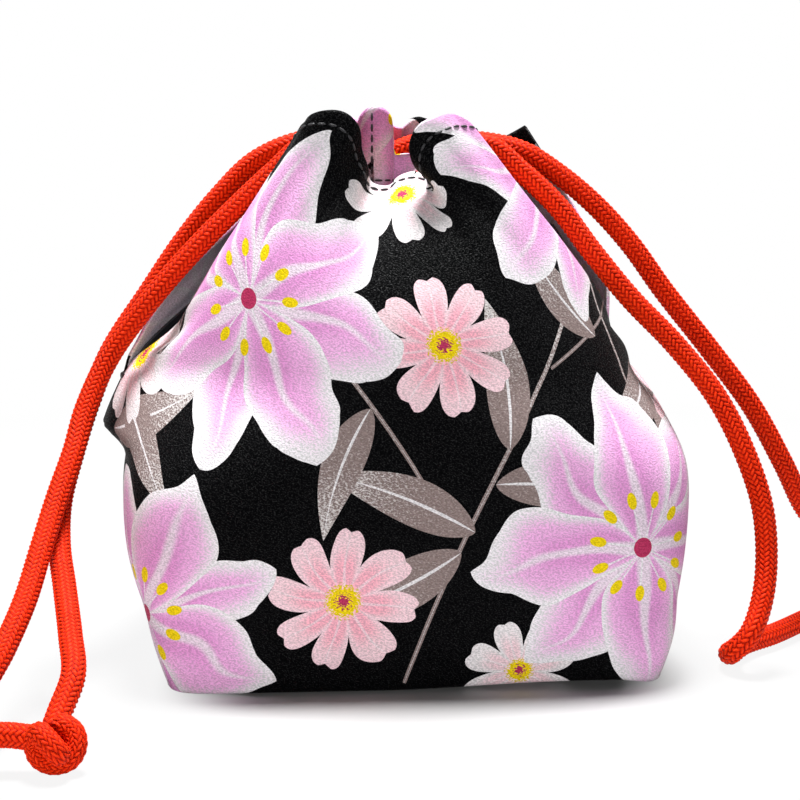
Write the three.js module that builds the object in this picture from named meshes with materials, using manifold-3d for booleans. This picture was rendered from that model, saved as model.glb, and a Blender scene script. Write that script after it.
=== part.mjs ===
// A lined drawstring bag for a lunch box: boxed base, side slits, gathered mouth, two knotted cords.
// Millimetres, +Z up. The origin is on the table under the middle of the base, and the front faces -Y.
import * as THREE from 'three';
import { mergeVertices } from 'three/addons/utils/BufferGeometryUtils.js';
import Module from 'manifold-3d';

const wasm = await Module();
wasm.setup();

// Lower bag, over the outer cloth
const BASE_WIDTH = 147;
const BASE_DEPTH = 112;
const SHOULDER_WIDTH = 177;
const SHOULDER_DEPTH = 122;
const SHOULDER_HEIGHT = 62;
const SLIT_WIDTH = 154;
const SLIT_DEPTH = 114;
const SLIT_HEIGHT = 94;
const BASE_SQUARENESS = 8;
const SLIT_SQUARENESS = 2;

// Gathered mouth
const RIM_HEIGHT = 170;
const MOUTH_WIDTH = 48;
const MOUTH_GAP = 12;
const MOUTH_SHIFT = -7;
const LOBE_REACH = 15;
const LOBE_SPREAD = 4;
const LOBE_CREST = 17;
const TUCK_WIDTH = 18;
const TUCK_FLOOR = 8;
const FRONT_TUCK_DROP = 22;
const BACK_TUCK_DROP = 7;
const SLIT_EDGE_DROP = 4;
const BACK_CORNER_REACH = 20;
const BACK_SLIT_BOW = 8;
const FLAP_SWELL = 2.2;
const FOLD_FADE = 2.3;

// Cord casing
const FACING_WIDTH = 28;
const HEM_HEIGHT = 2;
const CORD_EASE = 1.2;
const FRONT_CASING_DIP = 14;
const BACK_CASING_DIP = 2;
const BIGHT_SAG = 3;
const LINING_RISE = 36;
const LINING_EASE = 0.7;

// Materials of the pieces
const OUTER_CLOTH = 1.2;
const LINING_CLOTH = 0.8;
const CORD_DIAMETER = 6.5;
const KNOT_SIZE = 18;
const THREAD = 0.8;
const STITCH_INSET = 2.5;
const BARTACK_LENGTH = 8;
const BARTACK_DROP = 3;
const CLEARANCE = 0.3;

// Fineness of the faceted shapes
const AROUND_OUTER = 56;
const AROUND_LINING = 48;
const LEVELS = 8;
const FLAP_COLUMNS = 28;
const FLAP_ROWS = 8;
const CORD_SIDES = 8;
const THREAD_SIDES = 6;
const RUN_STEPS = 6;
const BIGHT_STEPS = 6;
const LENGTH_DIVISIONS = 20;
const SLOPE_STEP = 1e-3;
const ROUNDING = 1e-6;

// Sizes that follow from those above
const CORD_RADIUS = CORD_DIAMETER / 2;
const HALF_MOUTH = MOUTH_WIDTH / 2;
const FACING_REACH = MOUTH_GAP / 2 + LINING_CLOTH / 2;
const TWIST_RADIUS = CORD_RADIUS + CORD_EASE / 2;
const LANE_REACH = MOUTH_GAP / 2 + LINING_CLOTH + CLEARANCE + CORD_RADIUS + TWIST_RADIUS;
const CASING_REACH = LANE_REACH + CORD_RADIUS + CLEARANCE + OUTER_CLOTH / 2;
const TUCK_REACH = CASING_REACH + TWIST_RADIUS + OUTER_CLOTH;
const SLIT_START = CLEARANCE / 2 + OUTER_CLOTH / 2;
const LANE_DROP = HEM_HEIGHT + CORD_RADIUS + TWIST_RADIUS;
const CASING_HALF = TWIST_RADIUS + CORD_RADIUS + HEM_HEIGHT;
const CORD_STEP = 1.5 * CORD_DIAMETER;
const KNOT_RADIUS = KNOT_SIZE / 2;
const KNOT_SEAT = KNOT_RADIUS + CLEARANCE;

// Places of the two knots on the table, and the routes of the free cords from the mouth to the knots
const LEFT_KNOT = new THREE.Vector3(-99, -114, KNOT_RADIUS);
const RIGHT_KNOT = new THREE.Vector3(162, 28, KNOT_RADIUS);
const LEFT_FRONT_STRAND = [
  [-32, -8, 158], [-41, -8, 151], [-54, -8, 139],
  [-67, -9, 126], [-78.5, -10, 113], [-92, -11, 95],
];
const LEFT_FRONT_TAIL = [
  [-99, -18, 80], [-102, -28, 68], [-105.5, -39, 57], [-108.5, -54, 45],
  [-111, -71, 34], [-114.5, -88, 25], [-118.5, -102, 17], [-117, -112, 11],
];
const LEFT_BACK_STRAND = [
  [-33, 7, 160], [-47, 8, 154], [-58.5, 7, 143],
  [-70, 6, 129], [-81, 4, 113], [-93, 1, 95],
];
const LEFT_BACK_TAIL = [
  [-99.5, -6, 79], [-103.5, -16, 65], [-106, -27, 53], [-105, -42, 43],
  [-101.5, -59, 34], [-97.5, -80, 26], [-95, -96, 20],
];
const RIGHT_FRONT_STRAND = [
  [24, -9, 159], [35, -10.7, 151], [46.5, -13, 140],
  [56.5, -17, 126.5], [68, -20, 112.5], [81.5, -23, 98.5],
];
const RIGHT_FRONT_TAIL = [
  [93.5, -28, 83], [101.5, -32, 67], [107, -35, 50], [108, -38, 34],
  [105.5, -43, 22], [101, -47, 13], [97, -44, 7], [98, -36, 4],
  [105, -27, 4], [116, -18, 4], [126, -8, 4], [144, 10, 5],
];
const RIGHT_BACK_STRAND = [
  [24, 6, 160], [37, 3, 157], [48.5, 2, 150],
  [60.5, 1, 140], [71.5, 0, 128], [82.5, -1, 113],
];
const RIGHT_BACK_TAIL = [
  [97, -2, 95], [111.5, -3, 76], [122.5, -3, 57],
  [131.5, 1, 41], [143, 10, 30], [154, 21, 24],
];

const bag = new THREE.Group();

const outerCloth = () => new THREE.MeshStandardMaterial({ color: 0x2a262b, roughness: 0.85, metalness: 0 });
const liningCloth = () => new THREE.MeshStandardMaterial({ color: 0x1c1a1d, roughness: 0.8, metalness: 0 });
const braid = () => new THREE.MeshStandardMaterial({ color: 0xe8340e, roughness: 0.6, metalness: 0 });
const thread = () => new THREE.MeshStandardMaterial({ color: 0x101012, roughness: 0.6, metalness: 0 });

function addPiece(name, geometry, material, parent = bag) {
  const mesh = new THREE.Mesh(geometry, material);
  mesh.name = name;
  parent.add(mesh);
  return mesh;
}

function weld(geometry) {
  const bare = geometry.clone();
  bare.deleteAttribute('normal');
  bare.deleteAttribute('uv');
  return mergeVertices(bare);
}

function toSolid(geometry) {
  const welded = weld(geometry);
  return new wasm.Manifold(new wasm.Mesh({
    numProp: 3,
    vertProperties: new Float32Array(welded.attributes.position.array),
    triVerts: new Uint32Array(welded.index.array),
  }));
}

function toGeometry(solid) {
  const mesh = solid.getMesh();
  const geometry = new THREE.BufferGeometry();
  geometry.setAttribute('position', new THREE.BufferAttribute(new Float32Array(mesh.vertProperties), 3));
  geometry.setIndex(new THREE.BufferAttribute(new Uint32Array(mesh.triVerts), 1));
  geometry.computeVertexNormals();
  return geometry;
}

// Half of a size across the lower bag: it swells from the base to the shoulder and then draws in to the slits
function halfAcross(height, base, shoulder, slit) {
  if (height <= SHOULDER_HEIGHT) {
    const swell = Math.sin((height / SHOULDER_HEIGHT) * (Math.PI / 2));
    return (base + (shoulder - base) * swell) / 2;
  }
  const drawn = 1 - Math.cos(((height - SHOULDER_HEIGHT) / (SLIT_HEIGHT - SHOULDER_HEIGHT)) * (Math.PI / 2));
  return (shoulder + (slit - shoulder) * drawn) / 2;
}

const halfWidth = (height) => halfAcross(height, BASE_WIDTH, SHOULDER_WIDTH, SLIT_WIDTH);
const halfDepth = (height) => halfAcross(height, BASE_DEPTH, SHOULDER_DEPTH, SLIT_DEPTH);

// The plan of the lower bag: nearly a rectangle at the base, an oval where the slits start
function planPoint(angle, height, inset) {
  const rounded = THREE.MathUtils.smoothstep(height, 0, SLIT_HEIGHT);
  const power = 2 / THREE.MathUtils.lerp(BASE_SQUARENESS, SLIT_SQUARENESS, rounded);
  const squared = (share) => (Math.abs(share) < ROUNDING ? 0 : Math.sign(share) * Math.abs(share) ** power);
  const x = (halfWidth(height) - inset) * squared(Math.cos(angle));
  const y = (halfDepth(height) - inset) * squared(Math.sin(angle));
  return new THREE.Vector2(x, y);
}

// A filled pot of the bag's outer shape, made smaller all round by the inset, from one height to another
function potSolid(inset, bottom, top, around) {
  const drum = new THREE.CylinderGeometry(1, 1, 1, around, LEVELS);
  drum.rotateX(Math.PI / 2);
  const places = drum.attributes.position;
  for (let i = 0; i < places.count; i += 1) {
    const reach = Math.hypot(places.getX(i), places.getY(i));
    const angle = Math.atan2(places.getY(i), places.getX(i));
    const height = THREE.MathUtils.lerp(bottom, top, places.getZ(i) + 0.5);
    const plan = planPoint(angle, Math.min(height, SLIT_HEIGHT), inset);
    places.setXYZ(i, plan.x * reach, plan.y * reach, height);
  }
  return toSolid(drum);
}

// One cloth layer of the lower bag, open at the top
function potShell(inset, cloth, around) {
  const outside = potSolid(inset, inset, SLIT_HEIGHT, around);
  const inside = potSolid(inset + cloth, inset + cloth, SLIT_HEIGHT + OUTER_CLOTH, around);
  return outside.subtract(inside);
}

// The front (-1) or the back (+1) half of a layer, cut along the side seams and the seam across the base
function seamHalf(shell, side) {
  const room = SHOULDER_WIDTH + SHOULDER_DEPTH + SLIT_HEIGHT;
  const block = new THREE.BoxGeometry(2 * room, room, 2 * room);
  block.translate(0, side * (room / 2 + CLEARANCE / 2), 0);
  return toGeometry(shell.intersect(toSolid(block)));
}

// The rim of a flap, from its left slit edge over a lobe, a tuck and a lobe to its right slit edge. The
// corner at the left slit edge may stand further out than the lobe beside it. Fold 0 leaves the tuck out.
function rimCurve(shift, tuckDrop, corner, fold) {
  const crest = HALF_MOUTH - LOBE_CREST / 2;
  const lobe = CASING_REACH + LOBE_REACH;
  const leftHalf = [
    [-HALF_MOUTH, -CASING_REACH, RIM_HEIGHT - SLIT_EDGE_DROP],
    [-HALF_MOUTH - LOBE_SPREAD, -lobe + LOBE_REACH / 2, RIM_HEIGHT - SLIT_EDGE_DROP / 3],
    [-crest, -lobe, RIM_HEIGHT],
    [-TUCK_WIDTH / 2, -lobe + (fold * LOBE_REACH) / 2, RIM_HEIGHT - (fold * tuckDrop) / 3],
    [-TUCK_FLOOR / 2, -THREE.MathUtils.lerp(lobe, TUCK_REACH, fold), RIM_HEIGHT - fold * tuckDrop],
  ];
  const rightHalf = leftHalf.map(([x, y, z]) => [-x, y, z]).reverse();
  leftHalf[0][0] -= corner;
  const points = [...leftHalf, ...rightHalf];
  return new THREE.CatmullRomCurve3(points.map(([x, y, z]) => new THREE.Vector3(x + shift, y, z)));
}

// The middle of a flap's cloth: across goes from -1 at the left slit edge to 1 at the right one, and up from
// 0 at the foot to 1 at the rim. The tuck of the rim fades downwards into an even swell, and the right slit
// edge may bow outwards.
function flapSurface(shift, tuckDrop, corner, bow) {
  const rim = rimCurve(shift, tuckDrop, corner, 1);
  const even = rimCurve(shift, tuckDrop, corner, 0);
  return (across, up) => {
    const turn = across * (Math.PI / 2);
    const depth = SLIT_DEPTH / 2 - OUTER_CLOTH / 2 - SLIT_START;
    const foot = new THREE.Vector3(
      (SLIT_WIDTH / 2 - OUTER_CLOTH / 2) * Math.sin(turn),
      -SLIT_START - depth * Math.cos(turn),
      SLIT_HEIGHT,
    );
    const place = (across + 1) / 2;
    const smooth = even.getPoint(place);
    const fold = rim.getPoint(place).sub(smooth).multiplyScalar(up ** FOLD_FADE);
    const swell = 4 * FLAP_SWELL * up * (1 - up) * Math.cos(turn);
    const slack = bow * Math.max(across, 0) ** 4 * (27 / 4) * up * (1 - up) ** 2;
    return foot.lerp(smooth, up).add(fold).add(new THREE.Vector3(slack, -swell, 0));
  };
}

function surfaceNormal(surface, across, up) {
  const alongCloth = surface(across + SLOPE_STEP, up).sub(surface(across - SLOPE_STEP, up));
  const upCloth = surface(across, up + SLOPE_STEP).sub(surface(across, up - SLOPE_STEP));
  return alongCloth.cross(upCloth).normalize();
}

// A cloth strip of one thickness over part of a surface, held off its outer side by a distance
function drape(surface, cloth, offset, columns, rows, fromUp, toUp) {
  const slab = new THREE.BoxGeometry(2, 1, cloth, columns, rows, 1);
  const places = slab.attributes.position;
  const inside = 1 - 2 * SLOPE_STEP;
  for (let i = 0; i < places.count; i += 1) {
    const across = places.getX(i);
    const up = THREE.MathUtils.lerp(fromUp, toUp, places.getY(i) + 0.5);
    const within = THREE.MathUtils.clamp(across, -inside, inside);
    const normal = surfaceNormal(surface, within, Math.min(up, inside));
    const place = surface(across, up).addScaledVector(normal, offset + places.getZ(i));
    places.setXYZ(i, place.x, place.y, place.z);
  }
  return weld(slab);
}

// A round cord or thread along a curve
function roundCord(path, diameter, sides, steps) {
  const section = new THREE.Shape();
  section.setFromPoints(Array.from({ length: sides }, (_, i) => {
    const angle = (2 * Math.PI * i) / sides;
    return new THREE.Vector2((diameter / 2) * Math.cos(angle), (diameter / 2) * Math.sin(angle));
  }));
  return weld(new THREE.ExtrudeGeometry(section, { steps, extrudePath: path, bevelEnabled: false }));
}

// One stretch of a longer curve, between two lengths along it
class Stretch extends THREE.Curve {
  constructor(whole, from, to) {
    super();
    this.whole = whole;
    this.from = from;
    this.to = to;
  }

  getPoint(share, target) {
    const length = THREE.MathUtils.lerp(this.from, this.to, share);
    return this.whole.getPointAt(length / this.whole.getLength(), target);
  }
}

const toPoints = (list) => list.map(([x, y, z]) => new THREE.Vector3(x, y, z));

// Height of the middle of a casing, which dips with the tuck of its flap
function casingHeight(x, shift, dip) {
  const fromMiddle = THREE.MathUtils.clamp((x - shift) / FACING_WIDTH, -1, 1);
  const sag = dip * Math.cos(fromMiddle * (Math.PI / 2)) ** 2;
  return RIM_HEIGHT - SLIT_EDGE_DROP - LANE_DROP - sag;
}

function addLowerBag() {
  const outer = potShell(0, OUTER_CLOTH, AROUND_OUTER);
  addPiece('outer_front_panel', seamHalf(outer, -1), outerCloth());
  addPiece('outer_back_panel', seamHalf(outer, 1), outerCloth());
  const lining = potShell(OUTER_CLOTH + CLEARANCE, LINING_CLOTH, AROUND_LINING);
  addPiece('front_panel_lining', seamHalf(lining, -1), liningCloth());
  addPiece('back_panel_lining', seamHalf(lining, 1), liningCloth());
}

// A short bar of dense stitches across each side seam, just under the slit
function addBartacks() {
  const height = SLIT_HEIGHT - BARTACK_DROP;
  const slope = Math.atan2(halfWidth(height - 1) - halfWidth(height + 1), 2);
  for (const [name, side] of [['left_slit_bartack', -1], ['right_slit_bartack', 1]]) {
    const bar = new THREE.CylinderGeometry(THREAD, THREAD, BARTACK_LENGTH, CORD_SIDES);
    const out = halfWidth(height) + (CLEARANCE + THREAD) / Math.cos(slope);
    addPiece(name, weld(bar), thread()).position.set(side * out, 0, height);
  }
}

// A mouth flap with its lining, casing and stitches, built as the front one; the back one is turned round
function addFlap(label, turned, tuckDrop, dip, corner, bow) {
  const flap = new THREE.Group();
  flap.rotation.z = turned ? Math.PI : 0;
  bag.add(flap);
  const shift = turned ? -MOUTH_SHIFT : MOUTH_SHIFT;
  const surface = flapSurface(shift, tuckDrop, corner, bow);
  const rise = RIM_HEIGHT - tuckDrop - SLIT_HEIGHT;
  const clothFoot = (CLEARANCE + OUTER_CLOTH / 2) / rise;
  const liningFoot = (LINING_EASE + OUTER_CLOTH + LINING_CLOTH) / rise;
  const liningOffset = -(OUTER_CLOTH / 2 + LINING_EASE + LINING_CLOTH / 2);
  const liningTop = LINING_RISE / rise;
  const cloth = drape(surface, OUTER_CLOTH, 0, FLAP_COLUMNS, FLAP_ROWS, clothFoot, 1);
  addPiece(`${label}_mouth_flap`, cloth, outerCloth(), flap);
  const liningRows = FLAP_ROWS / 2;
  const lining = drape(surface, LINING_CLOTH, liningOffset, FLAP_COLUMNS, liningRows, liningFoot, liningTop);
  addPiece(`${label}_flap_lining`, lining, liningCloth(), flap);

  const facingSurface = (across, up) => {
    const x = shift + (across * FACING_WIDTH) / 2;
    const height = casingHeight(x, shift, dip) + CASING_HALF * (2 * up - 1);
    return new THREE.Vector3(x, -FACING_REACH, height);
  };
  const facing = drape(facingSurface, LINING_CLOTH, 0, FLAP_COLUMNS / 2, 2, 0, 1);
  addPiece(`${label}_casing_facing`, facing, liningCloth(), flap);

  const stitchOffset = OUTER_CLOTH / 2 + CLEARANCE + THREAD / 2;
  const rimStitch = stitchLine(surface, 1 - STITCH_INSET / rise, stitchOffset, FLAP_COLUMNS);
  addPiece(`${label}_rim_stitch`, rimStitch, thread(), flap);
  const facingStitch = -(LINING_CLOTH / 2 + CLEARANCE + THREAD / 2);
  const stitchHeight = STITCH_INSET / (2 * CASING_HALF);
  const casingStitch = stitchLine(facingSurface, stitchHeight, facingStitch, FLAP_COLUMNS / 2);
  addPiece(`${label}_casing_stitch`, casingStitch, thread(), flap);
}

// A line of stitches along a cloth at one height, standing off it by an offset
function stitchLine(surface, up, offset, columns) {
  const ends = 1 - STITCH_INSET / HALF_MOUTH;
  const points = [];
  for (let i = 0; i <= columns; i += 1) {
    const across = THREE.MathUtils.lerp(-ends, ends, i / columns);
    points.push(surface(across, up).addScaledVector(surfaceNormal(surface, across, up), offset));
  }
  return roundCord(new THREE.CatmullRomCurve3(points), THREAD, THREAD_SIDES, columns * 2);
}

// The stretch of a cord inside the front (-1) or back (+1) casing. The two cords wrap half a turn about each
// other there: each lies above the other at the slit where its ends leave and below it at its bight.
function runPoints(fromX, toX, side, dip, outward) {
  const points = [];
  for (let i = 0; i <= RUN_STEPS; i += 1) {
    const x = THREE.MathUtils.lerp(fromX, toX, i / RUN_STEPS);
    const turn = ((x - MOUTH_SHIFT) / FACING_WIDTH) * Math.PI * outward;
    const reach = LANE_REACH - outward * TWIST_RADIUS * Math.cos(turn);
    const height = casingHeight(x, MOUTH_SHIFT, dip) + TWIST_RADIUS * Math.sin(turn);
    points.push(new THREE.Vector3(x, side * reach, height));
  }
  return points;
}

// The half turn of a cord at the far slit, from the front casing round to the back casing
function bightPoints(x, outward) {
  const from = casingHeight(x, MOUTH_SHIFT, FRONT_CASING_DIP) - TWIST_RADIUS;
  const to = casingHeight(x, MOUTH_SHIFT, BACK_CASING_DIP) - TWIST_RADIUS;
  const points = [];
  for (let i = 1; i < BIGHT_STEPS; i += 1) {
    const turn = (Math.PI * i) / BIGHT_STEPS;
    const height = THREE.MathUtils.lerp(from, to, i / BIGHT_STEPS) - BIGHT_SAG * Math.sin(turn);
    const out = x + outward * LANE_REACH * Math.sin(turn);
    points.push(new THREE.Vector3(out, -LANE_REACH * Math.cos(turn), height));
  }
  return points;
}

// Where a tail meets its knot: on the knot's surface, towards the last point of the tail's route
function knotEntry(knot, from) {
  return from.clone().sub(knot).setLength(KNOT_SEAT).add(knot);
}

// A drawcord, from its knot through the front casing, round the bight and through the back casing to its
// knot. Its ends leave at one slit, and its bight lies at the other.
function addCord(label, outward, knot, routes) {
  const exitX = MOUTH_SHIFT + (outward * FACING_WIDTH) / 2;
  const bightX = MOUTH_SHIFT - (outward * FACING_WIDTH) / 2;
  const frontTail = toPoints(routes.frontTail).reverse();
  const backTail = toPoints(routes.backTail);
  const stretches = [
    ['front_tail', [knotEntry(knot, frontTail[0]), ...frontTail], CORD_STEP],
    ['front_strand', toPoints(routes.frontStrand).reverse(), CORD_STEP],
    ['front_run', runPoints(exitX, bightX, -1, FRONT_CASING_DIP, outward), CORD_DIAMETER],
    ['bight', bightPoints(bightX, -outward), CORD_DIAMETER],
    ['back_run', runPoints(bightX, exitX, 1, BACK_CASING_DIP, outward), CORD_DIAMETER],
    ['back_strand', toPoints(routes.backStrand), CORD_STEP],
    ['back_tail', [...backTail, knotEntry(knot, backTail[backTail.length - 1])], CORD_STEP],
  ];
  const points = stretches.flatMap(([, route]) => route);
  const whole = new THREE.CatmullRomCurve3(points);
  whole.arcLengthDivisions = (points.length - 1) * LENGTH_DIVISIONS;
  const lengths = whole.getLengths();
  let first = 0;
  for (const [name, route, step] of stretches) {
    const last = Math.min(first + route.length, points.length - 1);
    const from = lengths[first * LENGTH_DIVISIONS] + CLEARANCE / 2;
    const to = lengths[last * LENGTH_DIVISIONS] - CLEARANCE / 2;
    const steps = Math.ceil((to - from) / step);
    const cord = roundCord(new Stretch(whole, from, to), CORD_DIAMETER, CORD_SIDES, steps);
    addPiece(`${label}_cord_${name}`, cord, braid());
    first = last;
  }
  const ball = new THREE.SphereGeometry(KNOT_RADIUS, CORD_SIDES * 2, CORD_SIDES);
  ball.rotateX(Math.PI / 2);
  addPiece(`${label}_pull_knot`, weld(ball), braid()).position.copy(knot);
}

addLowerBag();
addBartacks();
addFlap('front', false, FRONT_TUCK_DROP, FRONT_CASING_DIP, 0, 0);
addFlap('back', true, BACK_TUCK_DROP, BACK_CASING_DIP, BACK_CORNER_REACH, BACK_SLIT_BOW);
addCord('left', -1, LEFT_KNOT, {
  frontTail: LEFT_FRONT_TAIL,
  frontStrand: LEFT_FRONT_STRAND,
  backStrand: LEFT_BACK_STRAND,
  backTail: LEFT_BACK_TAIL,
});
addCord('right', 1, RIGHT_KNOT, {
  frontTail: RIGHT_FRONT_TAIL,
  frontStrand: RIGHT_FRONT_STRAND,
  backStrand: RIGHT_BACK_STRAND,
  backTail: RIGHT_BACK_TAIL,
});

export default bag;
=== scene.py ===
"""A lined lunch bag of printed crepe, drawn shut by two braided cords that end in knots.

Metres, +Z up, and the front faces -Y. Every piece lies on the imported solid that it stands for.
"""

import math

import bmesh
import bpy
import numpy as np
from mathutils import Matrix, Vector


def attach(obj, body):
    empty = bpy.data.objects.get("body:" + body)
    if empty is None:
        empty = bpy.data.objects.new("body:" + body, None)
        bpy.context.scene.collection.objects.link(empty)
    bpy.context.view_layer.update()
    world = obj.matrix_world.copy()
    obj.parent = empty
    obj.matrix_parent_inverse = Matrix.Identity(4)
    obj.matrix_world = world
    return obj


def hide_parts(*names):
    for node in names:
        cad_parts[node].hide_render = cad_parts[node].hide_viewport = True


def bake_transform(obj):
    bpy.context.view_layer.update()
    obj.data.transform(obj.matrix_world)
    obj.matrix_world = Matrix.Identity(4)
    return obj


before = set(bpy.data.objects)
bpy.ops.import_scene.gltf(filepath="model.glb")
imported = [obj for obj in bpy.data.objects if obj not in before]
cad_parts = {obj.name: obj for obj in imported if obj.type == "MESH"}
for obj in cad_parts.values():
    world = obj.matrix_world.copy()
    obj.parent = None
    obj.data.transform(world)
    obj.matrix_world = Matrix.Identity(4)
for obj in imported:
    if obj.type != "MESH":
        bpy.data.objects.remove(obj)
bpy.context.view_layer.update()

# Camera, matched to the photograph
CAMERA_PLACE = (-0.0364, -0.5370, 0.1618)
CAMERA_AZIMUTH = math.radians(-3.69)
CAMERA_TILT = math.radians(8.8)
CAMERA_LENS_MM = 76.7
CAMERA_SENSOR_MM = 36

# Lower bag
BASE_WIDTH = 0.147
BASE_DEPTH = 0.112
SHOULDER_WIDTH = 0.177
SHOULDER_DEPTH = 0.122
SHOULDER_HEIGHT = 0.062
SLIT_WIDTH = 0.154
SLIT_DEPTH = 0.114
SLIT_HEIGHT = 0.094
SLIT_WIDTH_SLOPE = -0.5
SLIT_DEPTH_SLOPE = -0.2
BASE_SQUARENESS = 8
CORNER_SQUARENESS = 7
CORNER_HEIGHT = 0.026
SLIT_SQUARENESS = 2
BASE_EDGE_RADIUS = 0.0022
SEAM_GAP = 0.0003
SEAM_GROOVE = 0.0011
SEAM_GROOVE_WIDTH = 0.003
SEAM_GROOVE_TOP = 0.006
HALF_ROUND = 0.8 * (SHOULDER_WIDTH + SHOULDER_DEPTH)
OUTLINE_STEPS = 1440
BASE_EDGE_STEPS = 4

# Lean of the bag in the photograph: an ear at the left slit end that runs up the back flap, a swell of that
# flap above it, both sides drawn in, and the front edge of the base lifted, most of all right of its middle
EAR_REACH = 0.0104
EAR_SHARE = 0.22
RIGHT_SHARE = 0.34
EAR_FOOT = (0.065, 0.073)
EAR_FRONT_TOP = (0.087, 0.106)
EAR_BACK_TOP = (0.100, 0.137)
BACK_SWELL = 0.0042
BACK_SWELL_FOOT = 0.014
BACK_SWELL_HEIGHT = 0.124
BACK_SWELL_SPREAD = 0.016
RIGHT_DRAW = 0.0068
RIGHT_DRAW_HEIGHT = 0.097
RIGHT_DRAW_SPREAD = 0.016
LEFT_SIDE_DRAW = 0.0014
RIGHT_SIDE_DRAW = 0.0046
SIDE_DRAW_FOOT = (0.012, 0.042)
SIDE_DRAW_TOP = (0.080, 0.120)
FRONT_LIFT = 0.0004
FRONT_LIFT_FROM = (0.042, 0.056)
RIGHT_LIFT = 0.0018
RIGHT_LIFT_FROM = (-0.010, 0.045)
RIGHT_LIFT_TO = (0.058, 0.075)
LIFT_TOP = 0.040

# Slack of the filled cloth, in millimetres: slow dents, each a depth and two crossing waves (run across, run
# up, and start on the front and on the back), then pleats below the mouth and drag lines at the slit ends
SLOW_DENTS = [
    (0.75, (21, 33, (0.0, 1.7)), (-60, 17, (0.6, 2.3))),
    (0.45, (11, -14, (0.0, 3.57)), (math.inf, 24, (0.4, 0.4))),
    (0.22, (6.5, 9, (0.0, 1.7)), (-13, 7, (0.0, 0.0))),
]
PLEATS = 9
PLEAT_DEPTH = 0.9
PLEAT_STARTS = (0.8, 2.5)
PLEAT_CHANGE = 23
DRAG_LINES = 9
DRAG_DEPTH = 0.9
DRAG_STARTS = (0.0, 1.7)
DRAG_SPAN = 245
DRAG_REACH = 16
DRAG_SPREAD = 26
# Heights in metres at which the slack and its pleats start, and how soon it grows from the side seams
SLACK_FOOT = (0.002, 0.020)
PLEAT_FOOT = SLIT_HEIGHT - 0.01
SLACK_FROM_SEAMS = 12

# Cloth
CLOTH = 0.0009
LINING_CLOTH = 0.0006
LINING_INSET = 0.0020
LINING_EDGE = 0.004
LINING_TOP = 0.62
LINING_DRAW = 0.16
LINING_DRAW_ROWS = 6
CLOTH_COLUMNS = 180
LINING_COLUMNS = 90
CLOTH_STEP = 0.0016
LINING_STEP = 0.0035
HEM_RADIUS = 0.0010
HEM_TURN = 0.006
HEM_ROUND_STEPS = 6
HEM_TURN_STEPS = 5
HEM_EASE = 6
FLAP_BULGE = 0.0022
FOLD_FADE = 2.3
BACK_PRINT = (0.0, 0.150)

# Rim of the front flap: slit edge, left lobe, tuck with the hem along its floor, right lobe, slit edge
FRONT_RIM = [
    (-0.0310, -0.0180, 0.1630), (-0.0330, -0.0250, 0.1655), (-0.0265, -0.0325, 0.1685),
    (-0.0205, -0.0340, 0.1680), (-0.0165, -0.0320, 0.1640), (-0.0145, -0.0280, 0.1560),
    (-0.0130, -0.0250, 0.1500), (-0.0110, -0.0225, 0.1478), (-0.0060, -0.0210, 0.1470),
    (-0.0030, -0.0195, 0.1495), (0.0005, -0.0180, 0.1515), (0.0045, -0.0185, 0.1505),
    (0.0058, -0.0220, 0.1485), (0.0038, -0.0262, 0.1485), (0.0008, -0.0305, 0.1535),
    (-0.0005, -0.0335, 0.1600), (0.0022, -0.0350, 0.1645), (0.0070, -0.0350, 0.1670),
    (0.0112, -0.0325, 0.1680), (0.0152, -0.0280, 0.1665), (0.0178, -0.0225, 0.1640),
    (0.0172, -0.0170, 0.1620),
]
# The same rim without its folds, which the cloth lower down follows
FRONT_RIM_SWEEP = [
    (-0.0310, -0.0180, 0.1630), (-0.0300, -0.0275, 0.1655), (-0.0220, -0.0340, 0.1670),
    (-0.0060, -0.0365, 0.1670), (0.0090, -0.0345, 0.1670), (0.0165, -0.0270, 0.1645),
    (0.0172, -0.0170, 0.1620),
]
# Rim of the back flap, also from left to right: its right slit corner stands out
BACK_RIM = [
    (-0.0290, 0.0170, 0.1620), (-0.0285, 0.0255, 0.1640), (-0.0235, 0.0325, 0.1665),
    (-0.0190, 0.0315, 0.1675), (-0.0150, 0.0260, 0.1670), (-0.0125, 0.0200, 0.1660),
    (-0.0095, 0.0165, 0.1670), (-0.0055, 0.0165, 0.1675), (-0.0030, 0.0205, 0.1650),
    (-0.0010, 0.0265, 0.1645), (0.0040, 0.0320, 0.1675), (0.0120, 0.0330, 0.1665),
    (0.0200, 0.0290, 0.1625), (0.0300, 0.0230, 0.1600), (0.0350, 0.0208, 0.1614),
    (0.0407, 0.0182, 0.1645),
]
BACK_RIM_SWEEP = [
    (-0.0290, 0.0170, 0.1620), (-0.0270, 0.0270, 0.1650), (-0.0190, 0.0325, 0.1665),
    (-0.0040, 0.0340, 0.1670), (0.0120, 0.0320, 0.1660), (0.0270, 0.0260, 0.1640),
    (0.0407, 0.0182, 0.1645),
]

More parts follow.
